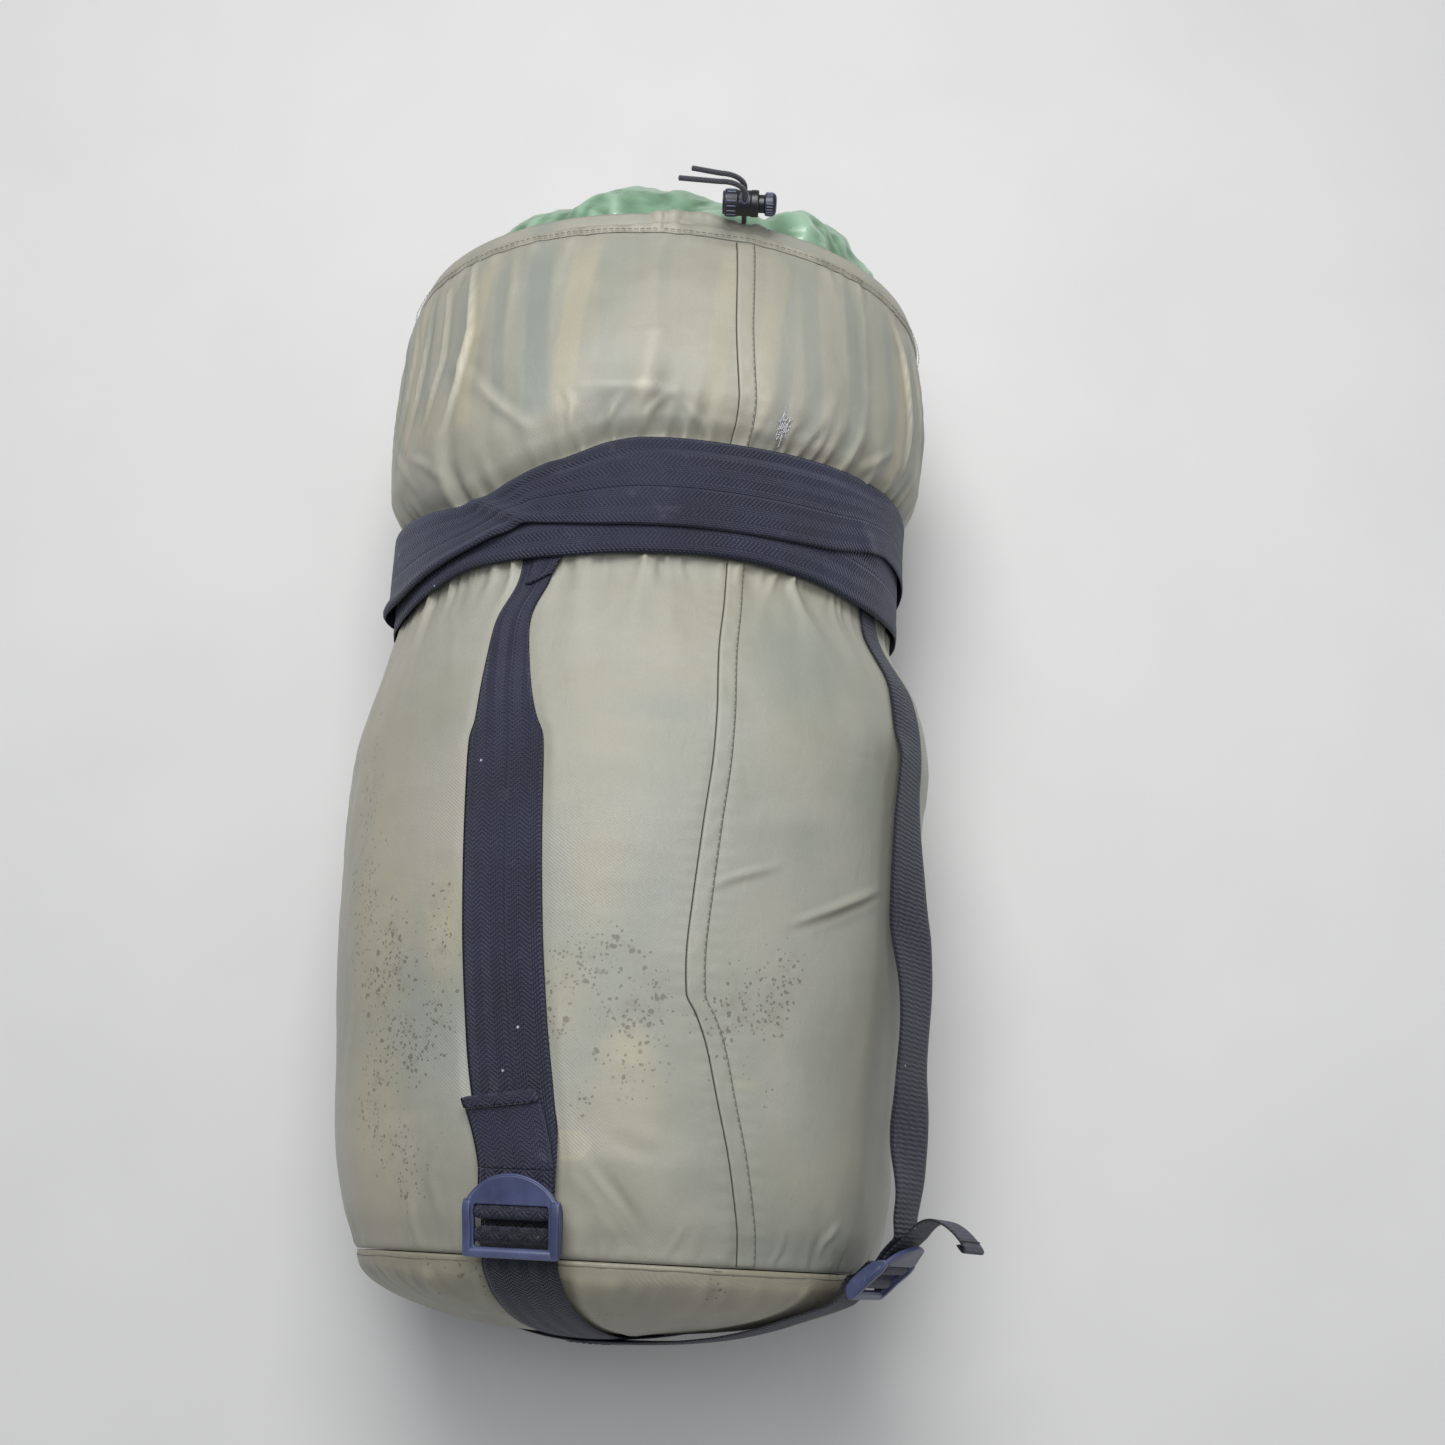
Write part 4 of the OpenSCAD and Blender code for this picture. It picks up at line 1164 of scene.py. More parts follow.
stain = paint(np.zeros(ALONG.shape), [
    (140, -44, 16, 10, 0.9), (122, -50, 16, 10, 0.8), (95, -41, 12, 12, 1.0),
    (84, -49, 12, 9, 0.8), (60, -50, 12, 10, 0.6), (170, -56, 34, 12, 0.5),
    (215, -60, 40, 10, 0.35), (45, -42, 16, 14, 0.45), (150, -33, 14, 8, 0.6),
    (108, -33, 16, 8, 0.6), (133, -6, 10, 16, 0.8), (112, 5, 9, 10, 1.1), (122, 8, 8, 9, 0.9),
    (105, -10, 8, 8, 0.7), (139, .5, 9, 10, 0.7), (71, -2, 5, 5, 0.9), (86, 4, 10, 12, 0.45),
    (129, 27.5, 9, 9, 0.9), (120, 31, 9, 8, 1.0), (117, 24, 7, 7, 0.9), (138, 33, 10, 8, 0.7),
    (88, 26, 8, 6, 0.35), (76, 33, 6, 5, 0.5), (105, 20, 12, 8, 0.5),
    (110, 120, 40, 30, 0.5), (160, -140, 50, 30, 0.5)],
    strength=1.15, grow_along=1.3, grow_turn=1.35)
stain *= 0.75 + 0.5 * fbm(metric / 14.0, 90)
# a pale oval with a brighter rim near the base
oval = np.sqrt(((ALONG - 51) / 6.4) ** 2 + (lateral(-5) / 8.5) ** 2)
pale = 0.30 * ease((1.08 - oval) / 0.2) + 0.5 * bell(oval, 1.0, 0.09)
pale = paint(pale, [(84, 27, 3, 9, 0.25)])
MASKS = {"ridge": ridge, "cavity_shade": cavity_shade, "sage": sage, "tan": tan, "stain": stain,
         "pale": pale}

# ------------------------------------------------------------------ sack body
CLOTH_GIRTH = 950.0  # cloth round the sack, for the weave
body = build_capped(
    "sack_body_fabric", CLOTH_POINTS,
    [(0, [0, 6 - BASE_Y, AXIS_Z]), (ROWS - 1, [0, LENGTH - 12 - BASE_Y, AXIS_Z])], FABRIC, MASKS,
    uv=(close_cols(np.degrees(TURN) / 360 * CLOTH_GIRTH, CLOTH_GIRTH), close_cols(ALONG)))
attach(body, "sack_fabric", "sack", "sack_tube")

# ------------------------------------------------------------------ base panel
# rows climb from the seam (0 degrees) to the middle of the dome (90 degrees)
BASE_ROWS = 84
dome_rows = np.linspace(0, 1, BASE_ROWS) ** 0.9 * 90.0
dome, base_turn = np.meshgrid(np.radians(dome_rows), TURN_LINE, indexing="ij")
base_radius = SEAM * np.cos(dome)
base_x = base_radius * np.sin(base_turn) + swell(0, np.cos(dome) * np.sin(base_turn))
base_y = -DOME * np.sin(dome) ** 0.92 - BASE_Y - 0.4
base_z = AXIS_Z + FLATTEN * base_radius * np.cos(base_turn)
base_normals = unit(np.stack([base_x / SEAM**2 * 900, (base_y + BASE_Y) / DOME**2 * 260,
                              (base_z - AXIS_Z) / (FLATTEN * SEAM) ** 2 * 900], -1))
base_inset = (1 - np.cos(dome)) * SEAM  # distance in from the seam
base_relief = np.zeros(dome.shape)
rng = np.random.default_rng(33)
for _ in range(90):
    centre, length, height = rng.uniform(0, 360), rng.uniform(6, 26), rng.uniform(0.2, 0.9)
    width = rng.uniform(1.2, 4.0)
    across = np.radians(turn_from(np.degrees(base_turn), centre)) * SEAM * np.cos(dome)
    across = across - rng.normal(0, 0.15) * base_inset
    base_relief += gather(base_inset, across, height, length, width + 0.08 * base_inset)
base_metric = np.stack([base_x, base_z, 0 * dome], -1)
base_relief += 2.2 * fbm(base_metric / 60.0, 51) + 0.8 * ridged(base_metric / 44.0, 52)
# flat under the base straps and at the seam
under_arm = np.zeros(dome.shape)
for lock in LOCKS.values():
    sine, cosine = math.sin(math.radians(lock.angle)), math.cos(math.radians(lock.angle))
    outward = base_x * sine + (base_z - AXIS_Z) * cosine
    across = np.abs(base_x * cosine - (base_z - AXIS_Z) * sine)
    under_arm = np.maximum(under_arm, ease((26 - across) / 7) * ease((outward + 22) / 8))
base_relief = base_relief * (1 - 0.93 * under_arm) - 0.9 * under_arm
base_relief = (base_relief * (1 - ease((5 - base_inset) / 5) * 0.85)
               - 0.3 * ease((3.0 - base_inset) / 3.0))
BASE_POINTS = np.stack([base_x, base_y, base_z], -1) + base_relief[..., None] * base_normals
base_fine = base_relief - blur(base_relief, 2.5, 3.0)
# the gathers' ridges are painted paler, partly a painted highlight and partly wear; their
# hollows and the seam get painted shade
base_masks = {
    "ridge": np.clip(base_fine / 0.9, 0, 1) * 0.5,
    "cavity_shade": np.maximum(np.clip(-base_fine / 0.8, 0, 1), 0.3 * bell(base_inset, 0, 1.5)),
    "sage": 0.4 * np.clip(fbm(base_metric / 60.0, 8) + 0.4, 0, 1),
    "tan": 0.4 * np.clip(fbm(base_metric / 50.0, 9), 0, 1),
    "stain": 0.35 * np.clip(fbm(base_metric / 30.0, 10) * 1.5, 0, 1),
    "pale": 0 * dome,
}
# the last row has no width, so one centre point stands for it
base_panel = build_capped(
    "base_panel_fabric", BASE_POINTS[:-1],
    [(BASE_ROWS - 2, BASE_POINTS[-1].mean(0)), (0, [0, -BASE_Y + 3, AXIS_Z])], FABRIC_BASE_SHADED,
    {key: mask[:-1] for key, mask in base_masks.items()},
    uv=(close_cols((base_radius * np.sin(base_turn))[:-1]),
        close_cols((base_radius * np.cos(base_turn))[:-1])), flip=True)
attach(base_panel, "sack_fabric", "sack", "base_panel")

# the sewn joint: a thin turned edge lying in the groove, with its line of thread
turns = np.linspace(0, 360, 721)[:-1]
base_row = np.interp(0.6, base_inset[:, 0], np.arange(BASE_ROWS))
joint = 0.5 * (on_sack(0.6, turns, 0.6) + bilinear(BASE_POINTS, base_row, turns / 360 * COLS))
joint[:, 1] += 0.4 * line_noise(turns / 9, 5)
joint = joint - 0.55 * unit(joint * np.array([1.0, 0.0, 1.0]) - np.array([0, 0, AXIS_Z]))
parts = [tube(joint + np.array([0, -0.7, 0]), 0.5, 10, closed=True),
         tube(joint + np.array([0, 0.5, 0]), 0.27, 8, closed=True)]
piping = build_parts("base_seam_piping", parts, THREAD, THREAD_DARK)
edge_faces = len(parts[0][1][0])
is_thread = np.arange(len(piping.data.polygons)) >= edge_faces
piping.data.polygons.foreach_set("material_index", is_thread.astype(np.int32))
attach(piping, "sack_fabric", "sack", "base_seam_welt")

# ------------------------------------------------------------------ side seam
# a narrow folded strip, stitched along its +X edge
SEAM_COLS = 13
seam_along = np.arange(0.6, 527.0, 1.5)
x = np.linspace(-1, 1, SEAM_COLS)
bulge = 0.32 * np.clip(1 - np.where(x > 0, np.abs(x) ** 2.5, np.abs(x) ** 7), 0, 1)[None, :]
ripple = 0.22 * np.sin(seam_along / 2.6 + 2 * np.sin(seam_along / 17.0))[:, None]
seam_height = 0.06 + bulge + ripple * bell(x[None, :], 0.3, 0.5)
seam_rows = across_sack(seam_along, seam_turn(seam_along), x[None] * 4.6, seam_height)
ring_count = 2 * SEAM_COLS - 2
row = np.clip((np.repeat(seam_along, ring_count) / LENGTH * (ROWS - 1)).astype(int), 0, ROWS - 1)
col = (np.repeat(seam_turn(seam_along) % 360, ring_count) / 360 * COLS).astype(int) % COLS
# the fell takes the sack's colour masks, its painted highlight and painted shade at half
# strength
seam_masks = {key: mask[row, col] * (0.5 if key in ("ridge", "cavity_shade") else 1.0)
              for key, mask in MASKS.items()}
fell = build_parts("side_seam_fell", [band(seam_rows, 9.2, 0.45, edge=6.0)], FABRIC,
                   attrs=seam_masks)
attach(fell, "sack_fabric", "sack", "side_seam")

SEAM_RUNS = ((0.8, RING_START - 2), (413, 526))  # the seam shows below and above the ring


def seam_line(start, end, step, across, off):
    along = np.arange(start, end, step)
    return sack_line(along, seam_turn(along) + np.degrees(across / mean_radius(along)), off)


parts = []
for run in SEAM_RUNS:
    parts += stitches(*seam_line(*run, step=1.0, across=3.7, off=0.62),
                      length=2.2, gap=1.5, radius=0.17)
attach(build_parts("side_seam_stitches", parts, THREAD), "sack_fabric", "sack")
# the other edge reads as one dark unbroken line
parts = [tube(seam_line(*run, step=2.0, across=-4.75, off=0.12)[0], 0.24, 6)
         for run in SEAM_RUNS]
attach(build_parts("side_seam_edge_line", parts, THREAD_DARK), "sack_fabric", "sack")

# ------------------------------------------------------------------ drawcord hem
# closed outline of the folded cloth: (along from the mouth, outwards)
HEM_OUTLINE = [
    (-14, 0.05), (-13.2, 0.4), (-10, 1.0), (-6, 1.9), (-1, 3.2), (4, 3.5), (7.5, 2.7),
    (9.8, 1.0), (10.3, -0.9), (9.0, -2.9), (4, -4.5), (-2, -4.2), (-8, -3.2), (-14, -2.6),
    (-14, -1.8), (-8, -2.4), (-2, -3.2), (3.5, -3.5), (7.6, -2.3), (8.9, -0.7), (8.0, 1.0),
    (4, 2.4), (-1, 2.1), (-6, 1.2), (-10, 0.7), (-13.4, 0.4)]
EXIT_TURN = 17.5  # where the drawcord comes out
hem = resample(HEM_OUTLINE, 1.4, closed=True)[:-1]
hem_along, hem_out = hem[:, 0][:, None], hem[:, 1][:, None]
turn_deg = np.degrees(TURN_LINE)


def hem_noise(scale, seed):
    return round_noise(TURN_LINE, scale, seed)


hem_wave = (2.0 * hem_noise(5.0, 14) + 1.2 * hem_noise(14.0, 15)
            - 4.5 * bell(turn_from(turn_deg, 50), 0, 20.0)
            - 3.5 * bell(turn_from(turn_deg, -48), 0, 18.0))
fine_puff = hem_noise(30.0, 18)
puff = 0.36 * hem_noise(12.0, 17) + 0.34 * fine_puff
pinches = np.zeros_like(turn_deg)
rng = np.random.default_rng(8)
for _ in range(46):
    centre = rng.uniform(-180, 180)
    amount = rng.uniform(0.3, 1.0)
    pinches += amount * bell(turn_from(turn_deg, centre), 0, rng.uniform(0.6, 1.6))
free = ease((hem_along + 12) / 10)
tuck = ease((hem_along + 13) / 12)
# how much of its full size the hem keeps: most near the cord's exit
kept = 0.45 + 0.38 * bell(turn_from(turn_deg, 8), 0, 17.0) + 0.10 * hem_noise(7.0, 44)
drawn_in = (1 - kept)[None] * tuck
out = (hem_out * (1 + puff[None] * free) + 1.8 * hem_noise(9.0, 16)[None] * free * 0.6
       - 1.2 * np.minimum(pinches, 1.3)[None] * free * np.sign(hem_out + 0.6) * 0.7)
station = LENGTH + np.minimum(hem_along, 0) + 0 * TURN_LINE[None]
hem_points = skin(station, TURN_LINE[None], out - drawn_in * 7.0)
hem_points[..., 1] += (np.maximum(hem_along, 0) + hem_wave[None] * free
                       - (hem_along + 14) * drawn_in)
# the outer face lies on the finished fabric at its lower edge
lying = (ease((-hem_along - 4) / 8) * (hem_out > 0))[..., None]
fabric = on_sack(np.clip(station, 0, LENGTH), turn_deg[None], np.maximum(out, 0.15) - 0.1)
hem_points = hem_points * (1 - lying) + fabric * lying
# a notch where the drawcord comes out
notch = bell(turn_from(turn_deg, EXIT_TURN), 0, 1.7)[None] * ease((hem_along + 5) / 8)
hem_points[..., 1] -= 2.6 * notch

flat = np.zeros((COLS, len(hem)))
hem_relief = (fine_puff - 0.9 * np.minimum(pinches, 1))[:, None] + flat
# the puffs get the pale ridge colour, partly a painted highlight and partly wear, and the
# pinches painted shade
hem_masks = {
    "ridge": np.clip(hem_relief * 0.5, 0, 1), "cavity_shade": np.clip(-hem_relief * 0.45, 0, 1),
    "sage": 0.3 * np.clip(flat + hem_noise(4.0, 3)[:, None] + 0.3, 0, 1),
    "tan": 0.12 + flat, "stain": flat, "pale": flat}
hem_uv = np.stack([flat + turn_deg[:, None] / 360 * 830, flat + hem[:, 0][None]], -1)
hem_ob = build("drawcord_hem", hem_points.transpose(1, 0, 2),
               [grid_faces(COLS, len(hem), wrap_cols=True, wrap_rows=True, flip=True)],
               [FABRIC_HEM], vert_uv=hem_uv.reshape(-1, 2), attrs=hem_masks)
attach(hem_ob, "sack_fabric", "sack", "drawcord_channel")

turns = np.linspace(0, 360, 900)[:-1]
points, normals = sack_line(LENGTH - 12.4 + 0.7 * line_noise(turns / 8, 71), turns, 1.75)
parts = stitches(np.vstack([points, points[:1]]), np.vstack([normals, normals[:1]]),
                 length=2.2, gap=1.3, radius=0.19)
attach(build_parts("hem_stitches", parts, THREAD), "sack_fabric", "sack")

# ------------------------------------------------------------------ sleeping bag
BAG_COLS = 460
# (height out of the mouth, half width)
bag_profile = curve([(0, 139), (7, 140), (16, 137), (28, 130), (40, 119), (52, 102), (61, 82),
                     (67, 54), (70.5, 24), (71.5, 0.0)])
# how far the filling stands out of the mouth, from side to side: (x, share)
bag_stand = curve([
    (-150, 0.40), (-110, 0.50), (-96, 0.66), (-88, 0.78), (-74, 0.87), (-49, 0.93),
    (-20, 1.0), (2, 1.0), (18, 0.94), (31, 0.83), (40, 0.74), (52, 0.74), (60, 0.86),
    (70, 1.0), (88, 1.14), (104, 1.26), (112, 1.10), (118, 0.84), (128, 0.58), (150, 0.4)])
heights = np.concatenate([np.linspace(-6, 50, 62), np.linspace(51.0, 71.3, 54)])
bag_height, bag_turn = np.meshgrid(heights, 2 * PI * np.arange(BAG_COLS) / BAG_COLS,
                                   indexing="ij")
bag_deg = turn_from(np.degrees(bag_turn), 0)
lobe = bell(bag_deg, 40, 15) * ease(bag_height / 12) * ease((60 - bag_height) / 30)
bag_width = bag_profile(np.maximum(bag_height, 0)) * (1 + 0.03 * lobe)
x = bag_width * np.sin(bag_turn)
z = AXIS_Z + (MOUTH_FLATTEN - 0.03 + 0.0016 * bag_height) * bag_width * np.cos(bag_turn)
y = (LENGTH - 5 + bag_height * bag_stand(x) - BASE_Y
     + LEAN * (1 - bag_height / 100) * (z - AXIS_Z))
bag = np.stack([x, y, z], -1)
bag_normals = grid_normals(bag, wrap_cols=True)
warp = np.stack([fbm(bag / 45, seed) for seed in (1, 2, 4)], -1) * 16
rays = np.stack([bag_deg / 9.0, bag_height / 55.0, 0 * bag_height], -1)
crumple = (2.2 * fbm(bag / 60.0, 6)
           + 4.4 * ridged((bag + warp) / 52.0, 11)
           + 2.8 * ridged(rays + warp / 40.0, 12) * ease((70 - bag_height) / 30)
           + 1.2 * ridged((bag + warp * 0.5) / 17.0, 13)
           + 0.12 * ridged((bag + warp * 0.3) / 9.0, 14))
crumple = blur(ease((bag_height + 4) / 14) * crumple - 2.4, 0.6, 0.7)
bag = bag + bag_normals * crumple[..., None]
# the crumples' ridges get a painted highlight and their hollows painted shade
fine = crumple - blur(crumple, 2.5, 3.5)
bag_ob = build_capped(
    "sleeping_bag_nylon", bag,
    [(len(heights) - 1, bag[-1].mean(0)), (0, [0, LENGTH - 30 - BASE_Y, AXIS_Z])], BAG_NYLON,
    {"ridge": np.clip(fine / 0.9, 0, 1), "cavity_shade": np.clip(-fine / 0.9, 0, 1)})
attach(bag_ob, "sleeping_bag", "sack", "sleeping_bag_stuffing")

# ------------------------------------------------------------------ compression ring
RING_TURNS = np.linspace(-180, 180, 481)[:-1]


def ring_surface(low, high, off, seed, extra, cols):
    """Centre surface of one wrap between its two edges."""
    x = np.linspace(-1, 1, cols)[None, :]
    along = low(RING_TURNS)[:, None] * (1 - x) / 2 + high(RING_TURNS)[:, None] * (1 + x) / 2
    turn = np.radians(RING_TURNS)
    ripple = (0.5 * np.sin(x * 2.1 + 3 * np.sin(RING_TURNS[:, None] / 23.0))
              + 0.9 * round_noise(turn, 3, seed)[:, None])
    out = off + ripple * 0.55 + 1.1 * np.maximum(x - 0.55, 0) + 0.9 * np.maximum(-x - 0.6, 0)
    out = out + extra(RING_TURNS[:, None], x, along)
    turn = turn[:, None]
    z = np.maximum(AXIS_Z + (FLATTEN * WAIST + out) * np.cos(turn), 1.6)
    return np.stack([(WAIST + out) * np.sin(turn), along - BASE_Y, z], -1)


def inner_extra(turn, x, along):
    return (3.0 * bell(turn, -84, 20) + 1.0 * bell(turn, 86, 18)
            - 0.5 * bell(turn, -10, 25) * bell(x, -0.8, 0.3))


def outer_extra(turn, x, along):
    out = 5.2 * bell(turn, -82, 17) + 1.8 * bell(turn, 84, 20)
    # rolled lower edge on the -X side, and the diagonal fold where the band turns over
    roll = ease((turn + 92) / 10) * ease((-27 - turn) / 6)
    out = out + 3.0 * roll * bell(x, -0.86, 0.20)
    fold = (along - 365.5) - (-24 - turn) * 1.15
    fold_span = ease((turn + 52) / 8) * ease((-22 - turn) / 5)
    out = out + (2.4 * bell(fold, 0, 4.0) - 1.0 * bell(fold, 9, 6.0)) * fold_span
    # kink on the +X side
    kink = (turn - 57) * 1.6 + (along - 380) * 0.35
    kink_span = ease((turn - 45) / 8) * ease((72 - turn) / 8) * ease((400 - along) / 20)
    out = out + 1.9 * bell(kink, 0, 5.0) * kink_span
    # the upper margin lies one layer lower
    step = ease((x - 0.60 - 0.05 * np.sin(turn / 14.0)) / 0.05)
    return out - 1.7 * step * ease((turn + 21) / 3) * ease((66 - turn) / 10)


def build_ring(name, replaced, surface):
    verts, faces, uv = band(surface, 50, 1.5, wrap=True, edge=10.0)
    rows, count = surface.shape[0], 2 * surface.shape[1] - 2
    # the quads that close the ring carry the run on instead of jumping back to zero
    quads = faces[0]
    loop_uv = uv[quads.ravel()].reshape(-1, 4, 2)
    total = uv[(rows - 1) * count, 1] + np.linalg.norm(surface[-1, 0] - surface[0, 0])
    closing = (quads.max(1) - quads.min(1)) > (rows - 2) * count
    loop_uv[..., 1] += np.where(closing[:, None] & (quads < count), total, 0.0)
    ob = build(name, verts, faces, [WEB_RING], loop_uv=loop_uv.reshape(-1, 2))
    attach(ob, "webbing", "sack", replaced)


inner_wrap = ring_surface(inner_low, inner_high, off=4.0, seed=61, extra=inner_extra, cols=15)
outer_wrap = ring_surface(outer_low, outer_high, off=6.1, seed=62, extra=outer_extra, cols=27)
build_ring("ring_inner_webbing", "ring_inner_wrap", inner_wrap)
build_ring("ring_outer_webbing", "ring_outer_wrap", outer_wrap)
outer_normals = grid_normals(outer_wrap, wrap_rows=True)


def ring_line(turns, x, off):
    """Points over the outer wrap at x = -1..1 across it, with their normals."""
    row = (x + 1) / 2 * (outer_wrap.shape[1] - 1)
    col = ((turns + 180) % 360) / 360 * len(RING_TURNS)
    normals = unit(bilinear(outer_normals.swapaxes(0, 1), row, col))
    return bilinear(outer_wrap.swapaxes(0, 1), row, col) + normals * off, normals


parts = stitches(*ring_line(np.linspace(-26, 24, 160), 0.02, 0.85),
                 length=1.7, gap=1.3, radius=0.32)
for x in (-0.85, 0.85):
    parts += stitches(*ring_line(np.linspace(150, 330, 500), x, 0.80),
                      length=2.4, gap=1.6, radius=0.26)
attach(build_parts("ring_stitches", parts, THREAD_BLACK), "webbing", "sack")

# ------------------------------------------------------------------ compression straps
# A lock has its own coordinates: `fore` runs towards its thumb tab, `out` away from the sack.
ACROSS = np.linspace(-1, 1, 13)[None]
BIGHT_WIDTH, TAIL_WIDTH, WEB_THICK = 37.4, 37.6, 1.35
# the strap's path through the lock: (fore, out)
BIGHT = [
    (26, -5.3), (20, -4.9), (15, -4.2), (11.6, -3.1), (9.4, -2.5), (7.9, -1.4), (7.35, 0.6),
    (8.3, 2.8), (10.5, 3.75), (12.7, 2.8), (13.7, 1.0), (14.1, -0.6), (15.4, -1.6),
    (18, -2.0), (22, -2.1), (25, -2.2), (29.4, -2.3)]
# free end of the front right strap: (fore, out)
RAISED_TAIL = [(29.6, -2.3), (34, -3.2), (38.5, -3.4), (43, -1.8), (46, 1.6), (48, 6), (49, 11),
               (49.2, 16), (48.8, 20.4), (47.6, 21.6), (46.6, 20.4), (47.0, 16.6)]
# free ends lying on the sack: (along, along where the radius is taken, height above it)
LYING_TAIL = [(53, 53, 5.2), (61, 61, 4.6), (68, 68, 4.6), (71.6, 71, 4.7), (73.0, 71, 5.6),
              (72.2, 71, 6.6), (69.6, 69, 6.5), (67.6, 67, 6.1)]
TAIL_SLANT = {"front_left": 0.13, "rear_left": -0.05, "rear_right": 0.04}
TAIL_SHIFT = {"front_left": -10.5, "rear_left": 1.5, "rear_right": -1.5}
# height of the front right strap above the sack: (along, height)
raised_height = curve([(22, 24.4), (30, 23.6), (40, 22.4), (60, 20.0), (84, 19.4), (100, 17.6),
                       (140, 13.2), (180, 8.2), (218, 4.4), (255, 2.2), (275, 1.4)])


def from_lock(lock, fore, out):
    """Lock coordinates to (along, radius) in the lock's plane."""
    cosine, sine = math.cos(math.radians(lock.tilt)), math.sin(math.radians(lock.tilt))
    fore, out = np.asarray(fore, float), np.asarray(out, float)
    return (lock.along + fore * cosine - out * sine, lock.radius + fore * sine + out * cosine)


def in_metres(point):
    return tuple(float(c) for c in point * 0.001)


def strap_on_sack(key, end, turn_at, off):
    """Strap rows from under the ring down to an end station, with their widths."""
    along = np.arange(RING_START + 30, end, -2.2)
    width = STRAP_WIDTH[key](along)
    across = ACROSS * width[:, None] / 2
    return across_sack(along, turn_at(along), across, off), width


def lying_rows(key, lock, sine):
    """A strap on the fabric, then three rows easing up into the lock's plane."""
    rows, width = strap_on_sack(key, 58, STRAP_TURN[key], 0.75)
    along = np.array([52.0, 46.0, 41.0])
    radius = (radius_at(along, lock.angle) + np.array([1.6, 2.4, 3.0])
              + swell(along, sine) * max(0, sine))
    rising = section(lock.angle, along[:, None], radius[:, None], ACROSS * BIGHT_WIDTH / 2)
    return [rows, rising], [width, np.full(3, BIGHT_WIDTH)]


def raised_rows(key, lock, sine):
    """The front right strap, which leaves the fabric and stands off it, swaying and twisting."""
    rows, width = strap_on_sack(key, 272, lambda along: LOCK_TURN[key], 0.9)
    along = np.arange(266, 24, -3.0)
    height = raised_height(along) + 0.9 * np.sin(along / 17.0) * ease((220 - along) / 60)
    radius = (radius_at(along, lock.angle) + height + swell(along, sine)
              * (0.4 * ease((along - 20) / 40) + 0.5 * ease((along - 150) / 60)))
    curl = 0.02 * np.sin(along / 26.0)[:, None] * ACROSS * 19
    sway = (2.2 * np.sin((along - 15) / 48.0) * ease((240 - along) / 80)
            * ease((along - 15) / 40))
    limit = 0.22 + 0.10 * np.sin(along / 24.0)
    twist = np.arcsin(np.clip((height - 2.5) / 21.0, 0, limit)) * ease((along - 30) / 50)
    free = section(lock.angle, along[:, None],
                   radius[:, None] + curl + np.sin(twist)[:, None] * ACROSS * 19,
                   np.cos(twist)[:, None] * ACROSS * 19 + sway[:, None])
    return [rows, free], [width, np.full(len(along), 38)]


def turned_corner():
    """The turned-over corner where the front left strap comes out from under the ring."""
    top = RING_START + 8
    along = np.arange(top, 331, -2.0)
    width = np.interp(along, [331, 338, top], [2.0, 13.0, 21.0])
    x = np.linspace(0, 1, 9)[None]
    radius = half_width(along) * MEAN_RATIO
    turn = (STRAP_TURN["front_left"](along)[:, None]
            + np.degrees((-3 + x * width[:, None]) / radius[:, None]))
    return band(on_sack(along[:, None], turn, 2.4 + 0.6 * x), width, 1.2)


def build_strap(key, lock):
    raised = key == "front_right"
    sine = math.sin(math.radians(lock.angle))
    rows, widths = (raised_rows if raised else lying_rows)(key, lock, sine)
    bight = smooth_path(BIGHT, 2, 0.9)
    along, radius = from_lock(lock, bight[:, 0], bight[:, 1])
    rows.append(section(lock.angle, along[:, None], radius[:, None], ACROSS * BIGHT_WIDTH / 2))
    widths.append(np.full(len(along), BIGHT_WIDTH))
    centre = np.concatenate(rows)
    for _ in range(2):  # takes the corners out of the joins
        centre[1:-1] = 0.25 * centre[:-2] + 0.5 * centre[1:-1] + 0.25 * centre[2:]
    parts = [band(centre, np.concatenate(widths), WEB_THICK)]
    material = WEB_RIBBED if raised else WEB
    if key == "front_left":
        parts.append(turned_corner())
        material = WEB_CREASED
    ob = build_parts("compression_strap_" + key, parts, material)
    attach(ob, "webbing", None, "strap_" + key, "strap_bight_" + key)
    start, end = (in_metres(section(lock.angle, station, radius_at(station, lock.angle)))
                  for station in ((120, 26) if raised else (104, 42)))
    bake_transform(ob)


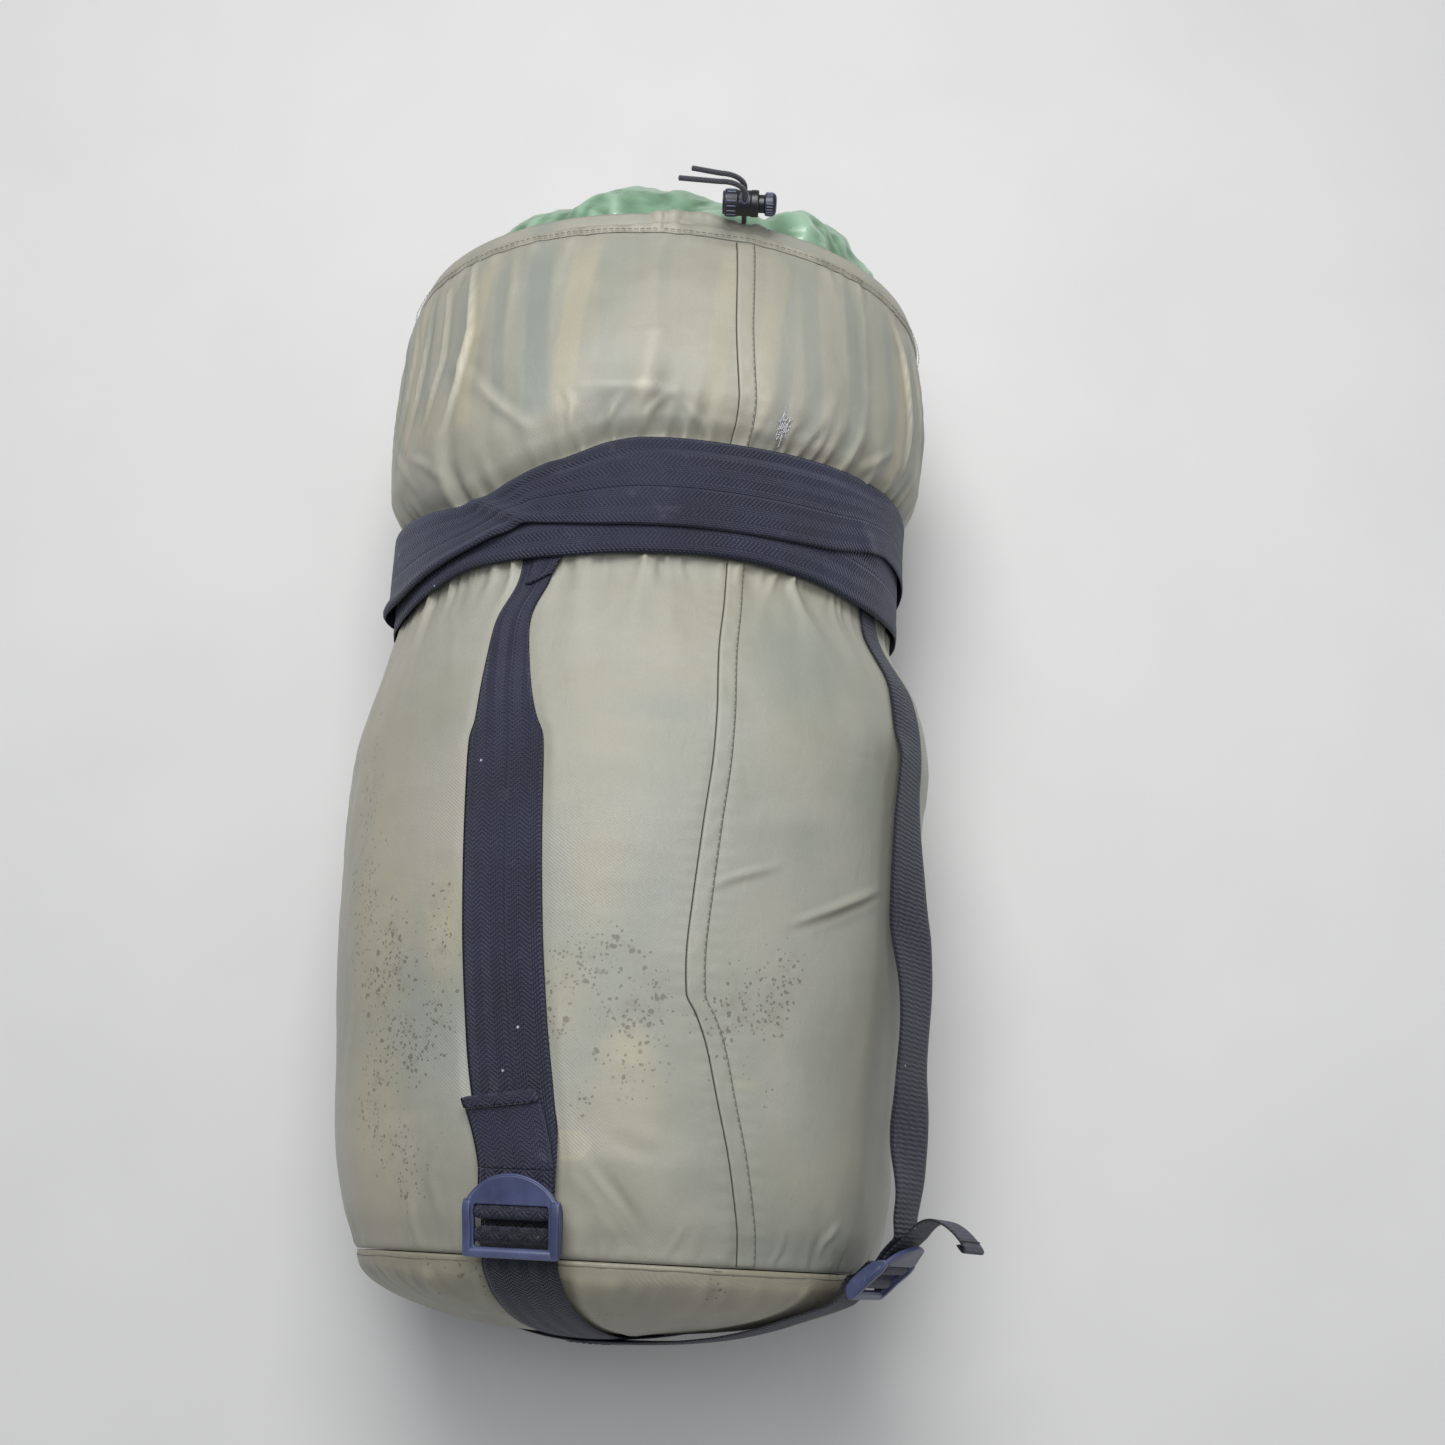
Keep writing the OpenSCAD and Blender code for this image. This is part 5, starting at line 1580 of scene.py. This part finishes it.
def build_tail(key, lock):
    """The strap's free end past the lock, with its row of stitches."""
    angle = lock.angle
    across = ACROSS * TAIL_WIDTH / 2
    stitch_x = np.linspace(-17, 17, 60)
    if key == "front_right":
        path = smooth_path(RAISED_TAIL, 2, 1.0)
        along, radius = from_lock(lock, path[:, 0], path[:, 1])
        centre = section(angle, along[:, None], radius[:, None], across)
        points = section(angle, *from_lock(lock, 50.0, 16.6), stitch_x)
        normal = section(angle, *from_lock(lock, 1, 0)) - section(angle, *from_lock(lock, 0, 0))
    else:
        along, radius = from_lock(lock, 29.6, -2.3)
        path = [(along, radius), (along + 5, radius + 0.3)]
        path += [(x, radius_at(base, angle) + height) for x, base, height in LYING_TAIL]
        path = smooth_path(path, 2, 1.0)
        share = np.clip((path[:, 0] - along) / (72 - along), 0, 1)[:, None]
        slant, sideways = TAIL_SLANT[key], TAIL_SHIFT[key]
        centre = section(angle, path[:, :1] + slant * share * across, path[:, 1:],
                         across + sideways * share**1.3)
        points = section(angle, 67.0 + slant * stitch_x * 0.9, radius_at(67, angle) + 6.95,
                         stitch_x + sideways * 0.9)
        normal = section(angle, 67.0, 10.0) - section(angle, 67.0, 9.0)
    ob = build_parts("strap_tail_" + key + "_webbing", [band(centre, TAIL_WIDTH, WEB_THICK)],
                     WEB_RIBBED if key == "front_right" else WEB)
    attach(ob, "webbing", None, "strap_tail_" + key)
    in_metres(section(angle, *from_lock(lock, 27.0, -2.3)))
    in_metres(section(angle, *from_lock(lock, 33.0, -2.6)))
    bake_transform(ob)
    parts = stitches(points, np.tile(normal, (60, 1)), length=2.0, gap=1.0, radius=0.28)
    ob = build_parts("tail_stitches_" + key, parts, THREAD_BLACK)
    attach(ob, "webbing", "tail_" + key)


for key, lock in LOCKS.items():
    build_strap(key, lock)
    build_tail(key, lock)


# ------------------------------------------------------------------ ladder locks
def plate(outlines, extrude, bevel):
    """Bevelled plate from 2D outlines, of which the first is the outside."""
    data = bpy.data.curves.new("tmp", "CURVE")
    data.dimensions = "2D"
    data.fill_mode = "BOTH"
    data.extrude = extrude * 0.001
    data.bevel_depth = bevel * 0.001
    data.bevel_resolution = 3
    for outline in outlines:
        spline = data.splines.new("POLY")
        spline.points.add(len(outline) - 1)
        for i, (x, y) in enumerate(outline):
            spline.points[i].co = (x * 0.001, y * 0.001, 0, 1)
        spline.use_cyclic_u = True
    ob = bpy.data.objects.new("tmp", data)
    scene.collection.objects.link(ob)
    evaluated = ob.evaluated_get(bpy.context.evaluated_depsgraph_get())
    mesh = evaluated.to_mesh()
    coords = np.empty(len(mesh.vertices) * 3, np.float32)
    mesh.vertices.foreach_get("co", coords)
    by_size = {}
    for polygon in mesh.polygons:
        by_size.setdefault(len(polygon.vertices), []).append(list(polygon.vertices))
    evaluated.to_mesh_clear()
    bpy.data.objects.remove(ob, do_unlink=True)
    bpy.data.curves.remove(data)
    return coords.reshape(-1, 3) * 1000.0, [np.array(f) for f in by_size.values()]


def rounded(outline, radius, steps=4):
    """Rounds a polygon's corners."""
    outline = np.asarray(outline, float)
    result = []
    for i, corner in enumerate(outline):
        to_last, to_next = outline[i - 1] - corner, outline[(i + 1) % len(outline)] - corner
        last_length, next_length = np.linalg.norm(to_last), np.linalg.norm(to_next)
        cut = min(radius, last_length * 0.45, next_length * 0.45)
        start = corner + to_last / last_length * cut
        end = corner + to_next / next_length * cut
        for k in range(steps + 1):
            u = k / steps
            result.append((1 - u) ** 2 * start + 2 * u * (1 - u) * corner + u * u * end)
    return np.array(result)


def face_bow(fore, across, middle):
    """Height of the bowed face plate."""
    return (middle - 0.5 * np.clip((fore - 15) / 6, 0, 1)
            + 0.8 * np.clip((fore - 19) / 9, 0, 1) ** 2 - 0.5 * (across / 23.0) ** 2)


def crossbar(fore, out, half, count, radius, sides):
    z = np.linspace(-half, half, count)
    return tube(np.stack([fore + 0 * z, out + 0 * z, z], -1), radius, sides, up=(0, 1, 0))


def lock_parts():
    """A ladder lock in its own coordinates: x is fore, y is out, z is across."""
    parts = []
    # side rails, a little deeper in the middle and bowed out at the shoulders
    rail = rounded([(-9.2, 1.6), (-7.4, -1.0), (-3, -2.2), (3, -2.3), (8, -2.0), (12.2, -0.9),
                    (14.8, 0.7), (15.8, 1.9), (14.6, 3.0), (11, 3.8), (3, 3.7), (-5, 4.1),
                    (-9.2, 3.9)], 1.5)
    verts, faces = plate([rail], 1.25, 0.65)
    for side in (-1, 1):
        placed = verts.copy()
        placed[:, 2] += side * 21.55
        placed[:, 2] += side * 0.5 * bell(placed[:, 0], 12, 7)
        parts.append((placed, faces, None))
    parts.append(crossbar(0, 0, half=21.3, count=30, radius=2.15, sides=24))
    parts.append(crossbar(10.5, 0.6, half=21.3, count=30, radius=1.95, sides=24))
    foot = rounded([(-9.6, 1.7), (-6.2, 1.7), (-6.2, 4.1), (-9.6, 4.1)], 1.1)
    parts.append((*plate([foot], 21.6, 0.4), None))
    # face plate: bowed sides flowing into a half-round thumb tab, with a window cut through
    side = [(-9.4, 19.6), (-6.5, 21.9), (0, 23.2), (6, 23.7), (11, 23.5), (15, 22.6)]
    arc = [(1.9 + 25.9 * math.cos(q), 25.9 * math.sin(q))
           for q in np.linspace(math.radians(60.5), 0, 26)]
    arc = [point for point in arc if point[0] > 16.0]
    half = side + arc
    outline = rounded(half + [(x, -z) for x, z in half[::-1] if abs(z) > 0.5], 1.6, 2)
    window = rounded([(-5.9, -19.0), (-5.9, 19.0), (14.6, 19.0), (14.6, -19.0)], 2.0)
    verts, faces = plate([outline, window], 0.45, 0.62)
    fore, across, out = verts.T
    parts.append((np.stack([fore, out + face_bow(fore, across, 2.6), across], -1),
                  [f[:, ::-1] for f in faces], None))
    # raised lip round the tab
    lip = np.array(arc + [(x, -z) for x, z in arc[::-1][1:]])
    fore, across = lip[:, 0] - 0.6, lip[:, 1] * 0.975
    lip = np.stack([fore, face_bow(fore, across, 3.2), across], -1)
    parts.append(tube(lip, 0.62, 10, up=(0, 1, 0)))
    # ridge over the slot that bites the webbing
    parts.append(crossbar(15.3, 1.6, half=20.5, count=24, radius=0.95, sides=12))
    return parts


LOCK_PARTS = lock_parts()
for key, lock in LOCKS.items():
    parts = [(section(lock.angle, *from_lock(lock, verts[:, 0], verts[:, 1]), verts[:, 2]),
              faces, uv) for verts, faces, uv in LOCK_PARTS]
    ob = build_parts("ladder_lock_" + key + "_body", parts, LOCK_PLASTIC)
    attach(ob, "lock_plastic", "ladder_lock_" + key, "ladder_lock_" + key)

# ------------------------------------------------------------------ base straps
# Each arm loops round its lock's fixed bar and runs over the base panel to its middle.
ARM_TILT = 230         # direction in which an arm leaves its bar, from the lock's tilt
BAR_LOOP_RADIUS = 3.15
ARM_ANGLES = (20, 27, 37, 47, 57, 67, 77, 86, 93)  # stations from the seam over the dome
ARM_UNDER = [1.9] * 9  # height above the dome at each station
ARM_OVER = [1.9, 1.9, 2.2, 3.0, 3.9, 4.1, 4.1, 4.1, 4.1]


def arm_path(key, lock, heights):
    """Path in the lock's plane as (along, radius): from the base, round the bar and back."""
    direction = math.radians(lock.tilt + ARM_TILT)
    bar = np.array([lock.along, lock.radius])
    away = np.array([math.cos(direction), math.sin(direction)])
    normal = np.array([-away[1], away[0]])
    loop = [bar + BAR_LOOP_RADIUS * np.array([math.cos(q), math.sin(q)])
            for q in np.linspace(direction + 0.75, direction + 2 * PI - 0.75, 26)]
    seam = radius_at(0, lock.angle)
    if key == "front_right":
        legs = [bar + 9.0 * away, np.array([-12.0, seam + 9.0]), np.array([-16.0, seam + 1.5])]
    else:
        legs = [bar + 9.2 * away, np.array([0.0, seam + 6.2]), np.array([-6.0, seam + 4.2])]
    sine = math.sin(math.radians(lock.angle))
    over_dome = []
    for angle, height in zip(ARM_ANGLES, heights):
        if key == "front_right" and angle < 30:
            continue
        rise, reach = math.sin(math.radians(angle)), math.cos(math.radians(angle))
        fuller = swell(0, sine * reach) * max(0, sine)
        over_dome.append((-(DOME + height) * rise**0.96, (seam + height) * reach + fuller))
    inside = [bar + 7.0 * away - 0.9 * normal, legs[0] - 0.81 * normal,
              legs[1] * 0.7 + legs[0] * 0.3 - 0.9 * normal]
    path = [*over_dome[::-1], legs[2], legs[1], legs[0] + 0.54 * normal, *loop, *inside]
    return smooth_path(np.array(path), 2, 1.3)


def arm_parts(key, heights):
    lock = LOCKS[key]
    path = arm_path(key, lock, heights)
    across = ACROSS * 19.0
    # follows the panel's curve where it lies on the base
    sag = across**2 / (2 * 190.0) * ease((-path[:, :1] - 14) / 10)
    arm = section(lock.angle, path[:, :1] + sag, path[:, 1:], across)
    # the turned end runs on a little way under the lock
    end = smooth_path([(-5.5, -4.3), (-1.5, -4.7), (3.0, -4.95), (7.6, -5.15)], 1, 1.0)
    along, radius = from_lock(lock, end[:, 0], end[:, 1])
    flap = section(lock.angle, along[:, None], radius[:, None], ACROSS * 18.2)
    return [band(arm, 38, WEB_THICK), band(flap, 36.4, 1.2)]


for name, replaced, keys, heights, material in (
        ("base_strap_left", "base_strap_a", ("front_left", "rear_right"), ARM_UNDER, WEB_BASE),
        ("base_strap_right", "base_strap_b", ("front_right", "rear_left"), ARM_OVER,
         WEB_RIBBED)):
    parts = [part for key in keys for part in arm_parts(key, heights)]
    attach(build_parts(name + "_webbing", parts, material), "webbing", "sack", replaced)

# a stitched square with its two diagonals at the crossing: x0, z0, x1, z1
BOX_LINES = ((-13, -13, 13, -13), (13, -13, 13, 13), (13, 13, -13, 13), (-13, 13, -13, -13),
             (-13, -13, 13, 13), (13, -13, -13, 13))
cosine, sine = math.cos(math.radians(23)), math.sin(math.radians(23))
parts = []
for x0, z0, x1, z1 in BOX_LINES:
    u = np.linspace(0, 1, 40)
    x, z = x0 + (x1 - x0) * u, z0 + (z1 - z0) * u
    y = -BASE_Y - DOME - 4.95 + (x**2 + z**2) / 380.0 + 0.2
    points = np.stack([x * cosine - z * sine, y, AXIS_Z + x * sine + z * cosine], -1)
    parts += stitches(points, np.tile([0.0, -1.0, 0.0], (40, 1)),
                      length=2.4, gap=1.2, radius=0.2)
attach(build_parts("base_box_stitches", parts, THREAD_BLACK), "webbing", "sack")

# ------------------------------------------------------------------ drawcord and cord lock
# Local axes at the cord's exit: x stays world X, y is the way the cord comes out, 92 degrees
# up from +Y, and z completes them. The lock's own axis is x.
EXIT = skin(LENGTH, math.radians(EXIT_TURN), -0.6) + np.array([0, 4.0, 0])
EXIT_LIFT = math.radians(92)
EXIT_AXES = np.array([[1.0, 0, 0], [0, math.cos(EXIT_LIFT), math.sin(EXIT_LIFT)],
                      [0, -math.sin(EXIT_LIFT), math.cos(EXIT_LIFT)]])
CORD_LOCK = np.array([0, 16.5, 0])  # centre of the cord lock in those axes


def at_exit(points):
    return EXIT + np.asarray(points, float) @ EXIT_AXES


def build_cord():
    """The cord inside the hem and its two free ends, which run through the lock and bend."""
    outer, inner = (int(np.argmin(np.hypot(hem[:, 0] - x, hem[:, 1] - y)))
                    for x, y in ((4, 3.5), (3.5, -3.5)))
    core = blur((0.5 * (hem_points[outer] + hem_points[inner]))[None], 0.5, 2.0)[0]
    parts = [tube(core, 1.1, 10, closed=True)]
    for side, spread in ((-1, 0.0), (1, 0.5)):
        path = [(0, y, side * 1.65) for y in (-0.3, 8, 20)]
        path += [(-11.5 + 11.5 * math.cos(q) - spread * q, 30 + 11.5 * math.sin(q),
                  side * (1.65 + 0.5 * q)) for q in np.linspace(0, math.radians(96), 12)]
        x, y, z = path[-1]
        path += [(x - run, y - 0.1 * run, z - 0.16 * run + side * 0.05 * run)
                 for run in (5.0, 10.0, 15.0, 19.0 + 3.0 * side)]
        parts.append(tube(at_exit(smooth_path(path, 1, 0.8)), 1.45, 14, up=(1, 0, 0)))
    ob = build_parts("drawcord_braid_cord", parts, CORD)
    attach(ob, "cord", "sack", "drawcord")


def lathe(profile, sides=48):
    """Profile of (x, radius) turned about the x axis."""
    angle = 2 * PI * np.arange(sides) / sides
    x, radius = profile[:, :1], profile[:, 1:]
    points = np.stack([x + 0 * angle, radius * np.cos(angle), radius * np.sin(angle)], -1)
    return cap_grid(points, [(0, [x[0, 0], 0, 0]), (len(x) - 1, [x[-1, 0], 0, 0])])


def ribs(count, start, end, points, radius, thick):
    """Ribs along the x axis, spaced round a cylinder."""
    x = np.linspace(start, end, points)
    return [tube(np.stack([x, radius * math.cos(q) + 0 * x, radius * math.sin(q) + 0 * x], -1),
                 thick, 6)[:2] for q in np.linspace(0, 2 * PI, count + 1)[:-1]]


def build_lock_piece(name, part, replaced, shells):
    parts = [(at_exit(verts + CORD_LOCK), faces, None) for verts, faces in shells]
    ob = build_parts(name, parts, BLACK)
    attach(ob, "cord_lock_plastic", part, replaced)


def build_barrel():
    """Barrel with grip ribs and a rim round each cord hole."""
    profile = rounded([(-12.0, 0.1), (-12.0, 6.3), (-10.9, 6.3), (-10.8, 7.3), (-4, 7.3),
                       (-3.2, 6.9), (3.2, 6.9), (4, 7.3), (7.4, 7.3), (7.9, 6.9), (7.9, 5.5),
                       (7.4, 5.4), (7.4, 0.1)], 0.5, 3)
    shells = [lathe(profile)] + ribs(16, -9.6, -4.8, points=8, radius=7.25, thick=0.42)
    angle = np.linspace(0, 2 * PI, 33)[:-1]
    z = 3.6 * np.sin(angle)
    for side in (-1, 1):
        rim = np.stack([2.1 * np.cos(angle), side * np.sqrt(6.95**2 - z**2), z], -1)
        shells.append(tube(rim, 0.5, 8, closed=True)[:2])
    build_lock_piece("cord_lock_barrel_body", "cord_lock", "cord_lock_barrel", shells)


def build_button():
    neck = 8 + 2.8  # where the stem ends and the head begins
    profile = rounded([(-3.0, 0.1), (-3.0, 4.9), (neck, 4.9), (neck + 0.6, 5.4),
                       (neck + 0.7, 6.2), (neck + 5.2, 6.2), (neck + 6.6, 5.0),
                       (neck + 7.0, 2.5), (neck + 6.8, 0.1)], 0.7, 3)
    grip = ribs(24, neck + 1.4, neck + 4.8, points=6, radius=6.15, thick=0.3)
    build_lock_piece("cord_lock_push_button", "cord_lock_button", "cord_lock_button",
                     [lathe(profile)] + grip)


def build_spring():
    """Three coils of the spring that the button presses, built at rest."""
    angle = np.linspace(0, 2 * PI * 3, 109)
    coil = np.stack([-9.0 + 4.6 * np.linspace(0, 1, 109), 4.1 * np.sin(angle),
                     4.1 * np.cos(angle)], -1)
    ob = build_parts("cord_lock_spring_coil", [tube(at_exit(coil + CORD_LOCK), 0.4, 8)], STEEL)
    attach(ob, "spring_steel", "cord_lock", "cord_lock_spring")
    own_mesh(ob)


build_cord()
build_barrel()
build_button()
build_spring()


def build_snag():
    """A small snag of white filling poking through above the ring."""
    rng = np.random.default_rng(4)
    count = 7
    parts = []
    for _ in range(34):
        along, turn = 425.5 + rng.normal(0, 2.4), 28.2 + rng.normal(0, 0.35)
        wander = np.cumsum(rng.normal(0, 1.0, (count, 2)) * np.array([0.9, 0.28]), 0) * 0.8
        points = on_sack(along + wander[:, 0] + np.linspace(0, 3.5, count),
                         turn + wander[:, 1], 0.5 + np.abs(rng.normal(0.6, 0.5, count)))
        parts.append(tube(smooth_path(points, 1, 0.7), 0.22, 5))
    fibre = thread_material("filling_fibre", (236, 236, 244))
    attach(build_parts("filling_snag", parts, fibre), "sleeping_bag", "sack")


build_snag()


# ------------------------------------------------------------------ floor, light, camera
def floor_material():
    mat = Shader("floor_paper")
    color = mat.mix(mat.noise(scale=8.0), (0.60, 0.60, 0.595), (0.66, 0.66, 0.655))
    grain = mat.noise(scale=700.0, detail=2.0)
    return mat.final(Base_Color=color, Roughness=0.85,
                     Normal=mat.bump(grain, distance=0.0001, strength=0.3))


FLOOR_HALF = 18000
FLOOR_Z = -0.3
corners = [(x * FLOOR_HALF, y * FLOOR_HALF, FLOOR_Z)
           for x, y in ((-1, -1), (1, -1), (1, 1), (-1, 1))]
floor = build("floor", corners, [np.array([[0, 1, 2, 3]])], [floor_material()], smooth=False)

world = bpy.data.worlds.new("studio")
scene.world = world
world.use_nodes = True
background = world.node_tree.nodes["Background"]
background.inputs["Color"].default_value = (0.93, 0.95, 1.0, 1)
background.inputs["Strength"].default_value = 0.27


def softbox(name, location, target, size, power, color):
    """Rectangular area light aimed at a point; metres and watts."""
    light = bpy.data.lights.new(name, "AREA")
    light.shape = "RECTANGLE"
    light.size, light.size_y = size
    light.energy = power
    light.color = color
    ob = bpy.data.objects.new(name, light)
    scene.collection.objects.link(ob)
    ob.location = location
    aim = Vector(target) - Vector(location)
    ob.rotation_euler = aim.to_track_quat("-Z", "Y").to_euler()


softbox("key_softbox", location=(-0.10, 0.75, 1.55), target=(0.0, 0.06, 0.12),
        size=(0.9, 0.7), power=20.5, color=(1.0, 0.99, 0.98))
softbox("top_softbox", location=(-0.05, 0.05, 1.9), target=(0.0, 0.0, 0.1),
        size=(0.7, 0.9), power=10, color=(0.97, 0.98, 1.0))
softbox("side_softbox", location=(1.3, -0.1, 0.9), target=(0.0, 0.0, 0.1),
        size=(1.0, 0.8), power=2.2, color=(1.0, 0.99, 0.97))

# The camera looks down from above the base seam, pitched towards the mouth.
CAMERA_X, CAMERA_Z = 49.4, 1115.2
CAMERA_ROLL, CAMERA_YAW, CAMERA_PITCH = -0.0054, -0.0466, 0.2914  # radians
camera = bpy.data.cameras.new("camera")
camera.sensor_width = 36.0
camera.lens = 44.844291
camera.clip_start, camera.clip_end = 0.02, 20
camera_ob = bpy.data.objects.new("camera", camera)
scene.collection.objects.link(camera_ob)
forward = Vector((0, math.sin(CAMERA_PITCH), -math.cos(CAMERA_PITCH)))
up = Vector((0, math.cos(CAMERA_PITCH), math.sin(CAMERA_PITCH)))
right = forward.cross(up)
roll = Matrix.Rotation(CAMERA_ROLL, 3, forward)
axes = Matrix((roll @ right, roll @ up, -forward)).transposed().to_4x4()
place = Matrix.Translation(Vector((CAMERA_X, -BASE_Y, CAMERA_Z)) * 0.001)
camera_ob.matrix_world = Matrix.Rotation(-CAMERA_YAW, 4, "Z") @ place @ axes
scene.camera = camera_ob
scene.view_settings.view_transform = "Standard"
